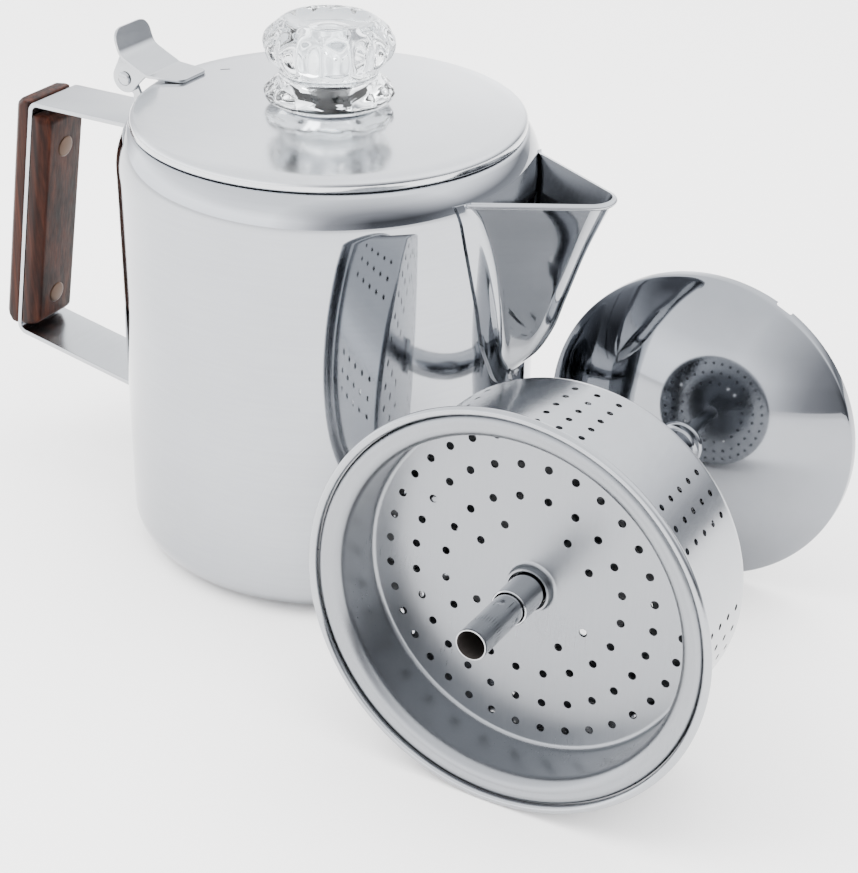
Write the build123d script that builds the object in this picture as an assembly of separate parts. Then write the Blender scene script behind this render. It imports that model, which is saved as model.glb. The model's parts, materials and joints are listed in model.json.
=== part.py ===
from build123d import *
from math import atan, asin, atan2, cos, degrees, hypot, radians, sin, tan
import os

# Stove-top coffee percolator in stainless steel, all sizes in millimetres.
# The pot stands at the origin with its lid closed. The spout points along +X, the
# handle along -X and +Z is up. The pump set (tube, domed base, basket and spreader)
# is put together and lies on the table beside the pot, with its tube end towards -Y.

# ---- pot ----
WALL = 0.8                # pot, lid and basket sheet
POT_R = 71.0              # outside of the straight wall
BASE_FILLET = 12.0
SHOULDER_Z = 137.0        # where the wall starts to curve in
SHOULDER_R = 22.7         # radius of that curve
MOUTH_Z = 151.0           # top of the ledge that the lid rests on
MOUTH_R = 64.2            # clear radius of the mouth

# ---- spout ----
SPOUT_SHEET = 1.0
SPOUT_TOP = 144.4
SPOUT_WALL_X = 68.0       # the half widths below are measured at this X
SPOUT_INNER_X = 58.0      # the cutting shapes start inside the pot
WINDOW_TOP = 134.0        # top edge of the opening in the pot wall
# height, keel X, half width at the wall, keel radius: top of the spout to its foot
SPOUT_SECTIONS = [
    (SPOUT_TOP, 103.6, 25.0, 8.0),
    (126.0, 95.6, 18.4, 6.0),
    (107.0, 88.9, 13.0, 6.5),
    (94.0, 84.3, 10.0, 6.5),
    (86.0, 80.0, 8.6, 6.0),
    (79.0, 73.0, 6.6, 4.5),
]
# half width and height of the brazing flange on the pot wall, top to foot
FLANGE_OUTLINE = [(30.0, SPOUT_TOP), (26.4, 128.0), (21.8, 109.0), (15.4, 86.0), (8.0, 75.0)]
FLANGE_SHEET = 0.9
HEM = 0.7                 # how far the hem round the top edge stands out
HEM_HEIGHT = 1.3

# ---- handle ----
STRAP = 1.8               # strip thickness
STRAP_WIDTH = 24.0
ARM_Z = 139.2             # top face of the level arm
LEG_TOP_X = -118.2        # outer corner of strip, top
LEG_FOOT_X, LEG_FOOT_Z = -133.0, 45.2
LOW_ARM_WALL_Z = 33.6     # underside of the lower arm where it meets the wall
STRAP_BEND = 4.0
TAB_HEIGHT = 18.0         # welded tab at each end of the strip
GRIP = 6.5                # thickness of each wooden scale
GRIP_EDGE = 2.6           # rounding of its long edges
RIVET_R = 2.0
RIVET_HEAD_R = 4.0
RIVET_HEAD = 1.0
RIVET_PROUD = 0.3
RIVET_HEIGHTS = (121.0, 60.5)

# ---- hinge ----
PIN_X, PIN_Z, PIN_R = -76.5, 154.5, 1.5
PIN_FIT = 0.06            # running clearance of the pin, on the radius
LUG_Y = 8.0               # outer face of the fixed lugs
LUG_SHEET = 1.2
LUG_HEAD_R = 3.8
WASHER = 0.4
EAR_Y = 8.7               # inner face of the lever's ears
LEVER_SHEET = 1.0
EAR_R = 5.1
PIN_HEAD_R, PIN_HEAD = 2.5, 0.9
SIDE_GAP = 0.3

# ---- lid ----
LID_R = 66.0
LID_REST = 0.25           # air gap between the lid's hem and the ledge
LID_EDGE_Z = 155.4
LID_CROWN_Z = 157.2       # flat middle of the lid
LID_CROWN_R = 24.0
LID_EDGE_FILLET = 2.2
HEM_R = 0.7               # rolled hem under the lid's edge
KNOB_HOLE_R = 13.0

# ---- glass knob ----
SEAT_R = 16.0
SEAT_BORE_R = 12.2
SEAT_TOP = LID_CROWN_Z + 1.2
SEAT_FOOT = 155.6
SPIGOT_R = 11.8
KNOB_FOOT = 153.2
KNOB_BORE_R = 9.0
LUG_TOP = 155.2
LUG_REACH = 14.2
LUG_ANGLE = 30.0
SLOT_ANGLE = 38.0
TWIST = 75.0              # turn from locked to free
FLUTES = 14
FLUTE_R, FLUTE_CENTRE_R = 5.2, 26.0

# ---- pump set, measured along its own axis from the edge of the domed base ----
DOME_R = 54.7
DOME_SKIRT = 4.0
DOME_RISE = 16.0
DOME_SHEET = 0.8
TUBE_R, TUBE_WALL = 4.75, 0.5
TUBE_FOOT, TUBE_END = 13.0, 169.5
FERRULE_R, FERRULE_LENGTH = 8.5, 7.0
BASKET_FOOT = 103.0
BASKET_R = 55.0
BASKET_SHEET = 0.6
RIM_R = 63.3
RIM_TOP = 152.7
BEAD_R = 1.25
BASKET_FLARE = 2.5
SLEEVE_R, SLEEVE_BORE_R = 5.6, 5.05
SLEEVE_END = 146.5
CRIMP_R, CRIMP_HEIGHT = 9.0, 1.2
STOP_R, STOP_LENGTH = 6.4, 4.0
PAN_FLOOR = 131.5         # face of the perforated floor
PAN_SHEET = 0.6
PAN_R = 54.0
PAN_FLANGE_R = 60.2
PAN_FLARE = 3.5           # radius of the bend from the spreader's wall into its flange
COLLAR_BORE_R, COLLAR_HEIGHT = 6.3, 3.2
HOLE_R = 1.3
SIDE_HOLE_R = 1.0
# ring radius, number of holes, first angle
PAN_RINGS = [(47.3, 36, 8.0), (38.5, 28, 9.4), (28.6, 20, 12.0)]
PAN_PAIR_R = 20.0
SIDE_PATCHES, PATCH_PHASE = 8, 38.5
PATCH_COLUMNS, COLUMN_STEP = 3, 7.3
PATCH_ROWS, ROW_STEP, FIRST_ROW = 5, 6.3, 110.7
NOTCHES, NOTCH_PHASE = 4, 63.6
NOTCH_WIDTH, NOTCH_HEIGHT = 6.0, 2.4

# ---- how the pump set lies on the table ----
SET_X = 126.0             # its axis lies in this plane, parallel to YZ
SET_Y = 37.4              # Y of the middle of the domed base's edge
_bead_s = RIM_TOP - BEAD_R
_bead_rise = RIM_R - BEAD_R - DOME_R
# The base's edge and the basket's bead both touch the table, and that sets the tilt.
SET_TILT = degrees(atan(_bead_rise / _bead_s) + asin(BEAD_R / hypot(_bead_s, _bead_rise)))
SET_Z = DOME_R * cos(radians(SET_TILT))


# ---------------------------------------------------------------- helpers
def profile(points):
    """Closed face in the XZ plane from (x, z) points."""
    return make_face(Plane.XZ * Polyline(*points, close=True))


def turned(face):
    """Solid of revolution about Z of a face drawn in the XZ plane."""
    return revolve(face, Axis.Z, 360)


def slab(points, y_from, y_to):
    """Plate with an XZ outline between two Y values."""
    return extrude(Pos(0, y_from, 0) * profile(points), y_to - y_from, dir=(0, 1, 0))


def tube_z(outer, inner, low, high):
    """Plain ring about Z."""
    ring = Cylinder(outer, high - low) - Cylinder(inner, high - low)
    return Pos(0, 0, (low + high) / 2) * ring


def rod_y(x, z, radius, y_from, y_to):
    """Round bar along Y."""
    bar = Cylinder(radius, y_to - y_from)
    return Pos(x, (y_from + y_to) / 2, z) * Rot(90, 0, 0) * bar


def sector(radius, low, high, centre, width):
    """Pie slice about Z, used to cut or keep part of a ring."""
    half = radians(width / 2)
    mid = radians(centre)
    reach = radius / cos(half)
    a = (reach * cos(mid - half), reach * sin(mid - half))
    b = (reach * cos(mid + half), reach * sin(mid + half))
    return Pos(0, 0, low) * extrude(make_face(Polyline((0, 0), a, b, close=True)), high - low)


def strip_outline(points, thickness):
    """Outline of a bent strip: its underside path and the same path offset upwards."""
    lines = []
    for (x0, z0), (x1, z1) in zip(points, points[1:]):
        length = hypot(x1 - x0, z1 - z0)
        lines.append((-(z1 - z0) / length, (x1 - x0) / length))
    upper = []
    for i, (x, z) in enumerate(points):
        before = lines[max(i - 1, 0)]
        after = lines[min(i, len(lines) - 1)]
        nx, nz = before[0] + after[0], before[1] + after[1]
        scale = thickness * 2 / (nx * nx + nz * nz)
        upper.append((x - nx * scale, z - nz * scale))
    return points + upper[::-1]


def in_place(shape):
    """Lay a pump-set piece, drawn about Z with its foot at z = 0, on the table."""
    return Pos(SET_X, SET_Y, SET_Z) * Rot(90 - SET_TILT, 0, 0) * shape


# ---------------------------------------------------------------- pot
def shoulder_x(z, inset=0.0):
    """Radius of the curved shoulder at a height."""
    return POT_R - SHOULDER_R + ((SHOULDER_R - inset) ** 2 - (z - SHOULDER_Z) ** 2) ** 0.5


def shoulder_mid(inset, top):
    """Point halfway up the shoulder curve."""
    half = asin((top - SHOULDER_Z) / (SHOULDER_R - inset)) / 2
    reach = SHOULDER_R - inset
    return (POT_R - SHOULDER_R + reach * cos(half), SHOULDER_Z + reach * sin(half))


def fillet_mid(radius, centre_x, centre_z):
    """Point halfway round a quarter circle that turns from the base into the wall."""
    return (centre_x + radius * cos(radians(45)), centre_z - radius * sin(radians(45)))


def pot_outline():
    centre_x = POT_R - BASE_FILLET
    inner_fillet = BASE_FILLET - WALL
    inner_top = MOUTH_Z - WALL
    outer_edge = shoulder_x(MOUTH_Z)
    inner_edge = shoulder_x(inner_top, WALL)
    lines = [
        Line((0, 0), (centre_x, 0)),
        ThreePointArc((centre_x, 0), fillet_mid(BASE_FILLET, centre_x, BASE_FILLET),
                      (POT_R, BASE_FILLET)),
        Line((POT_R, BASE_FILLET), (POT_R, SHOULDER_Z)),
        ThreePointArc((POT_R, SHOULDER_Z), shoulder_mid(0.0, MOUTH_Z), (outer_edge, MOUTH_Z)),
        Line((outer_edge, MOUTH_Z), (MOUTH_R, MOUTH_Z)),
        Line((MOUTH_R, MOUTH_Z), (MOUTH_R, inner_top)),
        Line((MOUTH_R, inner_top), (inner_edge, inner_top)),
        ThreePointArc((inner_edge, inner_top), shoulder_mid(WALL, inner_top),
                      (POT_R - WALL, SHOULDER_Z)),
        Line((POT_R - WALL, SHOULDER_Z), (POT_R - WALL, BASE_FILLET)),
        ThreePointArc((POT_R - WALL, BASE_FILLET), fillet_mid(inner_fillet, centre_x, BASE_FILLET),
                      (centre_x, WALL)),
        Line((centre_x, WALL), (0, WALL)),
        Line((0, WALL), (0, 0)),
    ]
    return make_face(Plane.XZ * Wire(lines))


def pot_body():
    """Outer form of the pot as a solid block, so that fittings can be trimmed to it."""
    edge = shoulder_x(MOUTH_Z)
    wire = Wire([
        Line((0, 0), (POT_R, 0)),
        Line((POT_R, 0), (POT_R, SHOULDER_Z)),
        ThreePointArc((POT_R, SHOULDER_Z), shoulder_mid(0.0, MOUTH_Z), (edge, MOUTH_Z)),
        Line((edge, MOUTH_Z), (0, MOUTH_Z)),
        Line((0, MOUTH_Z), (0, 0)),
    ])
    return turned(make_face(Plane.XZ * wire))


def spout_section(z, keel_x, half_width, keel_r, inset):
    """Level slice of the spout: a V with a rounded keel, moved in by inset."""
    angle = atan2(half_width, keel_x - SPOUT_WALL_X)
    for _ in range(6):
        apex = keel_x + keel_r * (1 / sin(angle) - 1)
        angle = atan2(half_width, apex - SPOUT_WALL_X)
    apex -= inset / sin(angle)
    radius = keel_r - inset
    run = radius / tan(angle)
    base = (apex - SPOUT_INNER_X) * tan(angle)
    touch_x, touch_y = apex - run * cos(angle), run * sin(angle)
    nose = apex - radius * (1 / sin(angle) - 1)
    wire = Wire([
        Line((SPOUT_INNER_X, -base), (touch_x, -touch_y)),
        ThreePointArc((touch_x, -touch_y), (nose, 0), (touch_x, touch_y)),
        Line((touch_x, touch_y), (SPOUT_INNER_X, base)),
        Line((SPOUT_INNER_X, base), (SPOUT_INNER_X, -base)),
    ])
    return Pos(0, 0, z) * make_face(wire)


def spout_body(inset, top):
    """Solid V shape of the spout, moved in by inset and carried up to top."""
    sections = [spout_section(*row, inset) for row in reversed(SPOUT_SECTIONS)]
    shape = loft(sections)
    if top > SPOUT_TOP:
        cap = spout_section(*SPOUT_SECTIONS[0], inset)
        shape += extrude(cap, top - SPOUT_TOP, dir=(0, 0, 1))
    return shape


def spout_cavity(top):
    """Room inside the spout, open at its top and into the pot."""
    foot = SPOUT_SECTIONS[-1][0] + SPOUT_SHEET
    keep = Pos(80, 0, (foot + 200) / 2) * Box(80, 80, 200 - foot)
    return spout_body(SPOUT_SHEET, top) & keep


def build_pot():
    below = Pos(80, 0, WINDOW_TOP / 2) * Box(80, 80, WINDOW_TOP)
    window = spout_cavity(SPOUT_TOP) & below
    return turned(pot_outline()) - window


def build_spout():
    cavity = spout_cavity(SPOUT_TOP + 2)
    hem = spout_section(*SPOUT_SECTIONS[0], -HEM)
    walls = spout_body(0.0, SPOUT_TOP) + extrude(hem, HEM_HEIGHT, dir=(0, 0, -1))
    right = [(y, z) for y, z in FLANGE_OUTLINE]
    left = [(-y, z) for y, z in reversed(FLANGE_OUTLINE)]
    plate = extrude(Plane.YZ * make_face(Polyline(*right, *left, close=True)), 90)
    flange = plate & tube_z(POT_R + FLANGE_SHEET, POT_R, 60, SPOUT_TOP)
    return walls + flange - cavity - pot_body()


# ---------------------------------------------------------------- handle
def leg_tilt():
    """Lean of the outer leg from the vertical, in degrees."""
    return degrees(atan2(LEG_TOP_X - LEG_FOOT_X, ARM_Z - LEG_FOOT_Z))


def build_strap():
    slope = (LEG_FOOT_Z - LOW_ARM_WALL_Z) / (-POT_R - LEG_FOOT_X)
    inside = -POT_R + 11
    low_end = LOW_ARM_WALL_Z - slope * (inside + POT_R)
    outer = make_face(Plane.XZ * Polyline(
        (inside, ARM_Z), (LEG_TOP_X, ARM_Z), (LEG_FOOT_X, LEG_FOOT_Z), (inside, low_end), close=True))
    corners = outer.vertices().sort_by(Axis.X)[:2]
    outer = fillet(corners, STRAP_BEND)
    inner = offset(outer, -STRAP)
    loop = extrude(outer - inner, STRAP_WIDTH / 2, both=True)
    tabs = tube_z(POT_R + STRAP, POT_R, ARM_Z - TAB_HEIGHT, ARM_Z - STRAP / 2)
    tabs += tube_z(POT_R + STRAP, POT_R, LOW_ARM_WALL_Z + STRAP / 2, LOW_ARM_WALL_Z + TAB_HEIGHT)
    tabs &= Pos(-POT_R, 0, 100) * Box(20, STRAP_WIDTH, 200)
    pot_room = Pos(0, 0, 100) * Cylinder(POT_R, 200)
    return loop - pot_room + tabs


def grip_plane(depth):
    """Plane on the outer leg: x down the leg, y across it, z outwards."""
    lean = radians(leg_tilt())
    outward = (-cos(lean), 0, sin(lean))
    down = (-sin(lean), 0, -cos(lean))
    origin = (LEG_TOP_X - depth * cos(lean), 0, ARM_Z + depth * sin(lean))
    return Plane(origin=origin, x_dir=down, z_dir=outward)


def scale_block(start, end):
    """One wooden scale: its flat face on z = 0, its far face rounded."""
    block = Pos((start + end) / 2, 0, GRIP / 2) * Box(end - start, STRAP_WIDTH, GRIP)
    return fillet(block.faces().sort_by(Axis.Z)[-1].edges(), GRIP_EDGE)


def rivet_drop(height):
    """Distance down the leg to a height."""
    return (ARM_Z - height) / cos(radians(leg_tilt()))


def build_rivets():
    span = 2 * GRIP + STRAP
    face = GRIP - RIVET_HEAD + RIVET_PROUD
    group = []
    for height in RIVET_HEIGHTS:
        shank = Pos(rivet_drop(height), 0, GRIP - span / 2) * Cylinder(RIVET_R, span)
        head = Pos(rivet_drop(height), 0, face + RIVET_HEAD / 2) * Cylinder(RIVET_HEAD_R, RIVET_HEAD)
        tail = Pos(rivet_drop(height), 0, -STRAP - face - RIVET_HEAD / 2) * Cylinder(
            RIVET_HEAD_R, RIVET_HEAD)
        group.append(grip_plane(0) * (shank + head + tail))
    return group


def build_grips(rivets):
    outer = grip_plane(0) * scale_block(0.5, 92.0)
    flipped = Pos(0, 0, -STRAP) * Rot(180, 0, 0) * scale_block(4.5, 91.0)
    inner = grip_plane(0) * flipped
    for rivet in rivets:
        outer -= rivet
        inner -= rivet
    return outer, inner


# ---------------------------------------------------------------- hinge
def build_bracket():
    back = tube_z(POT_R + LUG_SHEET, POT_R, ARM_Z, ARM_Z + 7.5)
    back &= Pos(-POT_R, 0, 140) * Box(20, 2 * LUG_Y, 30)
    stem_out, stem_in = PIN_X + 2.1, -POT_R - 0.2
    stem = [(stem_out, ARM_Z), (stem_in, ARM_Z), (stem_in, 149.0), (PIN_X + 3.4, 153.2),
            (PIN_X - 3.4, 152.8), (stem_out, 149.0)]
    result = back
    for side in (-1, 1):
        y_in, y_out = sorted((side * (LUG_Y - LUG_SHEET), side * LUG_Y))
        lug = slab(stem, y_in, y_out) + rod_y(PIN_X, PIN_Z, LUG_HEAD_R, y_in, y_out)
        result += lug - rod_y(PIN_X, PIN_Z, PIN_R, y_in - 1, y_out + 1)
    return result


def build_pin():
    head_y = EAR_Y + LEVER_SHEET + SIDE_GAP
    pin = rod_y(PIN_X, PIN_Z, PIN_R, -head_y, head_y)
    for side in (-1, 1):
        y_in, y_out = sorted((side * head_y, side * (head_y + PIN_HEAD)))
        pin += rod_y(PIN_X, PIN_Z, PIN_HEAD_R, y_in, y_out)
    return pin


def build_washers():
    group = []
    for side in (-1, 1):
        y_in, y_out = sorted((side * LUG_Y, side * (LUG_Y + WASHER)))
        disc = rod_y(PIN_X, PIN_Z, 3.2, y_in, y_out)
        group.append(disc - rod_y(PIN_X, PIN_Z, PIN_R, y_in - 1, y_out + 1))
    return group


def build_lever():
    half = EAR_Y + LEVER_SHEET
    leaf_z = 156.05
    path = [(-81.3, 171.0), (-78.2, 161.9), (-67.6, leaf_z), (-53.8, leaf_z)]
    sheet = slab(strip_outline(path, -LEVER_SHEET), -half, half)
    plan = [(-50, -8.2), (-50, 8.2), (-68, half), (-90, half), (-90, -half), (-68, -half)]
    sheet &= Pos(0, 0, 140) * extrude(make_face(Polyline(*plan, close=True)), 40)
    front = Plane.YZ * (Pos(0, 156) * RectangleRounded(2 * half, 29.6, 3.4))
    sheet &= extrude(Pos(-100, 0, 0) * front, 60)
    web = [(-67.4, leaf_z + 0.3), (-78.2, 162.3), (-81.5, 156.4), (-73.0, 150.6)]
    for side in (-1, 1):
        y_in, y_out = sorted((side * EAR_Y, side * half))
        ear = slab(web, y_in, y_out) + rod_y(PIN_X, PIN_Z, EAR_R, y_in, y_out)
        sheet += ear
    return sheet - rod_y(PIN_X, PIN_Z, PIN_R + PIN_FIT, -half - 1, half + 1)


# ---------------------------------------------------------------- lid and knob
def lid_outline():
    """Section of the lid: crown, slope, rounded edge, skirt and rolled hem."""
    low = MOUTH_Z + LID_REST
    arc_x = LID_R - LID_EDGE_FILLET
    edge = LID_EDGE_FILLET * cos(radians(45))
    inner_edge = (LID_EDGE_FILLET - WALL) * cos(radians(45))
    arc_z = LID_EDGE_Z - LID_EDGE_FILLET
    wire = Wire([
        Line((KNOB_HOLE_R, LID_CROWN_Z), (LID_CROWN_R, LID_CROWN_Z)),
        Line((LID_CROWN_R, LID_CROWN_Z), (arc_x, LID_EDGE_Z)),
        ThreePointArc((arc_x, LID_EDGE_Z), (arc_x + edge, arc_z + edge), (LID_R, arc_z)),
        Line((LID_R, arc_z), (LID_R, low + HEM_R)),
        ThreePointArc((LID_R, low + HEM_R), (LID_R - HEM_R, low), (LID_R - 2 * HEM_R, low + HEM_R)),
        ThreePointArc((LID_R - 2 * HEM_R, low + HEM_R), (LID_R - 1.5 * HEM_R, low + 1.7 * HEM_R),
                      (LID_R - WALL, low + 2 * HEM_R)),
        Line((LID_R - WALL, low + 2 * HEM_R), (LID_R - WALL, arc_z)),
        ThreePointArc((LID_R - WALL, arc_z), (arc_x + inner_edge, arc_z + inner_edge),
                      (arc_x, LID_EDGE_Z - WALL)),
        Line((arc_x, LID_EDGE_Z - WALL), (LID_CROWN_R, LID_CROWN_Z - WALL)),
        Line((LID_CROWN_R, LID_CROWN_Z - WALL), (KNOB_HOLE_R, LID_CROWN_Z - WALL)),
        Line((KNOB_HOLE_R, LID_CROWN_Z - WALL), (KNOB_HOLE_R, LID_CROWN_Z)),
    ])
    return make_face(Plane.XZ * wire)


def knob_slots(low, high):
    """Two openings that let the knob's lugs through when it is turned to its free end."""
    slots = sector(LUG_REACH + 0.5, low, high, TWIST, SLOT_ANGLE)
    slots += sector(LUG_REACH + 0.5, low, high, TWIST + 180, SLOT_ANGLE)
    return slots & (Pos(0, 0, (low + high) / 2) * Cylinder(LUG_REACH + 0.5, high - low))


def build_lid():
    lid = turned(lid_outline()) - knob_slots(150, 160)
    vent = Pos(-50.3, 13.0, 155) * Rot(0, 0, 35) * Box(3.2, 0.9, 10)
    return lid - vent


def build_seat():
    seat = tube_z(SEAT_R, SEAT_BORE_R, LID_CROWN_Z, SEAT_TOP)
    seat += tube_z(KNOB_HOLE_R, SEAT_BORE_R, SEAT_FOOT, LID_CROWN_Z)
    return seat - knob_slots(150, 160)


def knob_outline():
    """Half section of the glass knob: spigot, flange, neck and cap, with a round-topped bore."""
    base = SEAT_TOP + 0.3
    wire = Wire([
        Line((KNOB_BORE_R, KNOB_FOOT), (SPIGOT_R, KNOB_FOOT)),
        Line((SPIGOT_R, KNOB_FOOT), (SPIGOT_R, base)),
        Line((SPIGOT_R, base), (18.6, base)),
        Spline((18.6, base), (21.7, 161.2), (19.0, 164.4), (16.4, 168.6), (19.6, 172.6),
               (21.9, 178.2), (18.6, 183.8)),
        Line((18.6, 183.8), (14.0, 186.2)),
        Spline((14.0, 186.2), (7.0, 185.4), (0.0, 185.2)),
        Line((0.0, 185.2), (0.0, 180.0)),
        ThreePointArc((0.0, 180.0), (6.4, 177.4), (KNOB_BORE_R, 171.0)),
        Line((KNOB_BORE_R, 171.0), (KNOB_BORE_R, KNOB_FOOT)),
    ])
    return make_face(Plane.XZ * wire)


def build_knob():
    knob = turned(knob_outline())
    for i in range(FLUTES):
        angle = 360 / FLUTES * (i + 0.5)
        flute = Pos(FLUTE_CENTRE_R, 0, 172.5) * Cylinder(FLUTE_R, 27)
        knob -= Rot(0, 0, angle) * flute
    lugs = tube_z(LUG_REACH, SPIGOT_R - 0.5, KNOB_FOOT, LUG_TOP)
    keep = sector(LUG_REACH + 1, KNOB_FOOT, LUG_TOP, 0, LUG_ANGLE)
    keep += sector(LUG_REACH + 1, KNOB_FOOT, LUG_TOP, 180, LUG_ANGLE)
    return knob + (lugs & keep)


# ---------------------------------------------------------------- pump set
def dome_shell(inset):
    """Domed base without its skirt notches, as a solid moved in by inset."""
    half = DOME_R - inset
    rise = DOME_RISE
    top = DOME_SKIRT + rise - inset
    sphere_r = (half * half + rise * rise) / (2 * rise)
    centre_z = top - sphere_r
    lean = asin(half / sphere_r) / 2
    wire = Wire([
        Line((0, 0), (half, 0)),
        Line((half, 0), (half, DOME_SKIRT - inset)),
        ThreePointArc((half, DOME_SKIRT - inset),
                      (sphere_r * sin(lean), centre_z + sphere_r * cos(lean)), (0, top)),
        Line((0, top), (0, 0)),
    ])
    return turned(make_face(Plane.XZ * wire))


def build_dome():
    dome = dome_shell(0.0) - dome_shell(DOME_SHEET)
    dome -= Cylinder(TUBE_R, 100)
    for i in range(NOTCHES):
        notch = Pos(DOME_R, 0, 0) * Box(8, NOTCH_WIDTH, 2 * NOTCH_HEIGHT)
        dome -= Rot(0, 0, NOTCH_PHASE + 360 / NOTCHES * i) * notch
    return dome


def build_tube():
    return tube_z(TUBE_R, TUBE_R - TUBE_WALL, TUBE_FOOT, TUBE_END)


def build_ferrule():
    """Flanged collar that holds the tube in the top of the dome."""
    crown = DOME_SKIRT + DOME_RISE
    ring = tube_z(TUBE_R + 1.0, TUBE_R, crown - DOME_SHEET / 2, crown + FERRULE_LENGTH)
    flange = tube_z(FERRULE_R, TUBE_R, crown - DOME_SHEET / 2, crown + 0.8)
    return ring + flange - dome_shell(0.0)


def build_stop():
    return tube_z(STOP_R, TUBE_R, BASKET_FOOT - 0.3 - STOP_LENGTH, BASKET_FOOT - 0.3)


def basket_outline():
    """Section of the basket: floor, wall, flare, flange and rolled bead."""
    sheet = BASKET_SHEET
    flange_z = RIM_TOP - 3.0
    bead_x = RIM_R - BEAD_R
    bead_z = RIM_TOP - BEAD_R
    corner = 3.0
    cos45 = cos(radians(45))
    floor_x = BASKET_R - corner
    flare_x = BASKET_R + BASKET_FLARE
    flare_z = flange_z - BASKET_FLARE
    inner_r = corner - sheet
    flare_in = BASKET_FLARE + sheet
    wire = Wire([
        Line((SLEEVE_BORE_R + 1.5, BASKET_FOOT), (floor_x, BASKET_FOOT)),
        ThreePointArc((floor_x, BASKET_FOOT),
                      (floor_x + corner * cos45, BASKET_FOOT + corner * (1 - cos45)),
                      (BASKET_R, BASKET_FOOT + corner)),
        Line((BASKET_R, BASKET_FOOT + corner), (BASKET_R, flare_z)),
        ThreePointArc((BASKET_R, flare_z),
                      (flare_x - BASKET_FLARE * cos45, flare_z + BASKET_FLARE * cos45),
                      (flare_x, flange_z)),
        Line((flare_x, flange_z), (bead_x, flange_z)),
        Line((bead_x, flange_z), (bead_x, bead_z - BEAD_R)),
        ThreePointArc((bead_x, bead_z - BEAD_R), (RIM_R, bead_z), (bead_x, RIM_TOP)),
        ThreePointArc((bead_x, RIM_TOP), (bead_x - BEAD_R, bead_z),
                      (bead_x - BEAD_R * 0.6, bead_z - BEAD_R * 0.8)),
        Line((bead_x - BEAD_R * 0.6, bead_z - BEAD_R * 0.8), (bead_x - BEAD_R * 0.6, flange_z + sheet)),
        Line((bead_x - BEAD_R * 0.6, flange_z + sheet), (flare_x, flange_z + sheet)),
        ThreePointArc((flare_x, flange_z + sheet),
                      (flare_x - flare_in * cos45, flare_z + flare_in * cos45),
                      (BASKET_R - sheet, flare_z)),
        Line((BASKET_R - sheet, flare_z), (BASKET_R - sheet, BASKET_FOOT + corner)),
        ThreePointArc((BASKET_R - sheet, BASKET_FOOT + corner),
                      (floor_x + inner_r * cos45, BASKET_FOOT + corner - inner_r * cos45),
                      (floor_x, BASKET_FOOT + sheet)),
        Line((floor_x, BASKET_FOOT + sheet), (SLEEVE_BORE_R + 1.5, BASKET_FOOT + sheet)),
        Line((SLEEVE_BORE_R + 1.5, BASKET_FOOT + sheet), (SLEEVE_BORE_R + 1.5, BASKET_FOOT)),
    ])
    return make_face(Plane.XZ * wire)


def side_holes():
    """Radial drills for the patches of holes in the basket's wall."""
    drills = []
    for patch in range(SIDE_PATCHES):
        for column in range(PATCH_COLUMNS):
            angle = PATCH_PHASE + 360 / SIDE_PATCHES * patch
            angle += COLUMN_STEP * (column - (PATCH_COLUMNS - 1) / 2)
            for row in range(PATCH_ROWS):
                z = FIRST_ROW + ROW_STEP * row
                drill = Pos(BASKET_R, 0, z) * Rot(0, 90, 0) * Cylinder(SIDE_HOLE_R, 6)
                drills.append(Rot(0, 0, angle) * drill)
    return drills


def ring_holes(rings, z):
    """Drills through a floor, ring by ring."""
    drills = []
    for radius, count, phase in rings:
        for i in range(count):
            drills.append(Rot(0, 0, phase + 360 / count * i) * Pos(radius, 0, z) * Cylinder(HOLE_R, 6))
    return drills


def build_basket():
    cup = turned(basket_outline())
    return cup - (side_holes() + ring_holes(PAN_RINGS, BASKET_FOOT))


def build_sleeve():
    """Tube up the middle of the basket, flanged under its floor."""
    sleeve = tube_z(SLEEVE_R, SLEEVE_BORE_R, BASKET_FOOT, SLEEVE_END)
    return sleeve + tube_z(SLEEVE_BORE_R + 1.5, SLEEVE_BORE_R, BASKET_FOOT, BASKET_FOOT + 1.6)


def build_crimp():
    """Ring that clamps the sleeve to the basket's floor."""
    floor = BASKET_FOOT + BASKET_SHEET
    return tube_z(CRIMP_R, SLEEVE_BORE_R + 1.5, floor, floor + CRIMP_HEIGHT)


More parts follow.
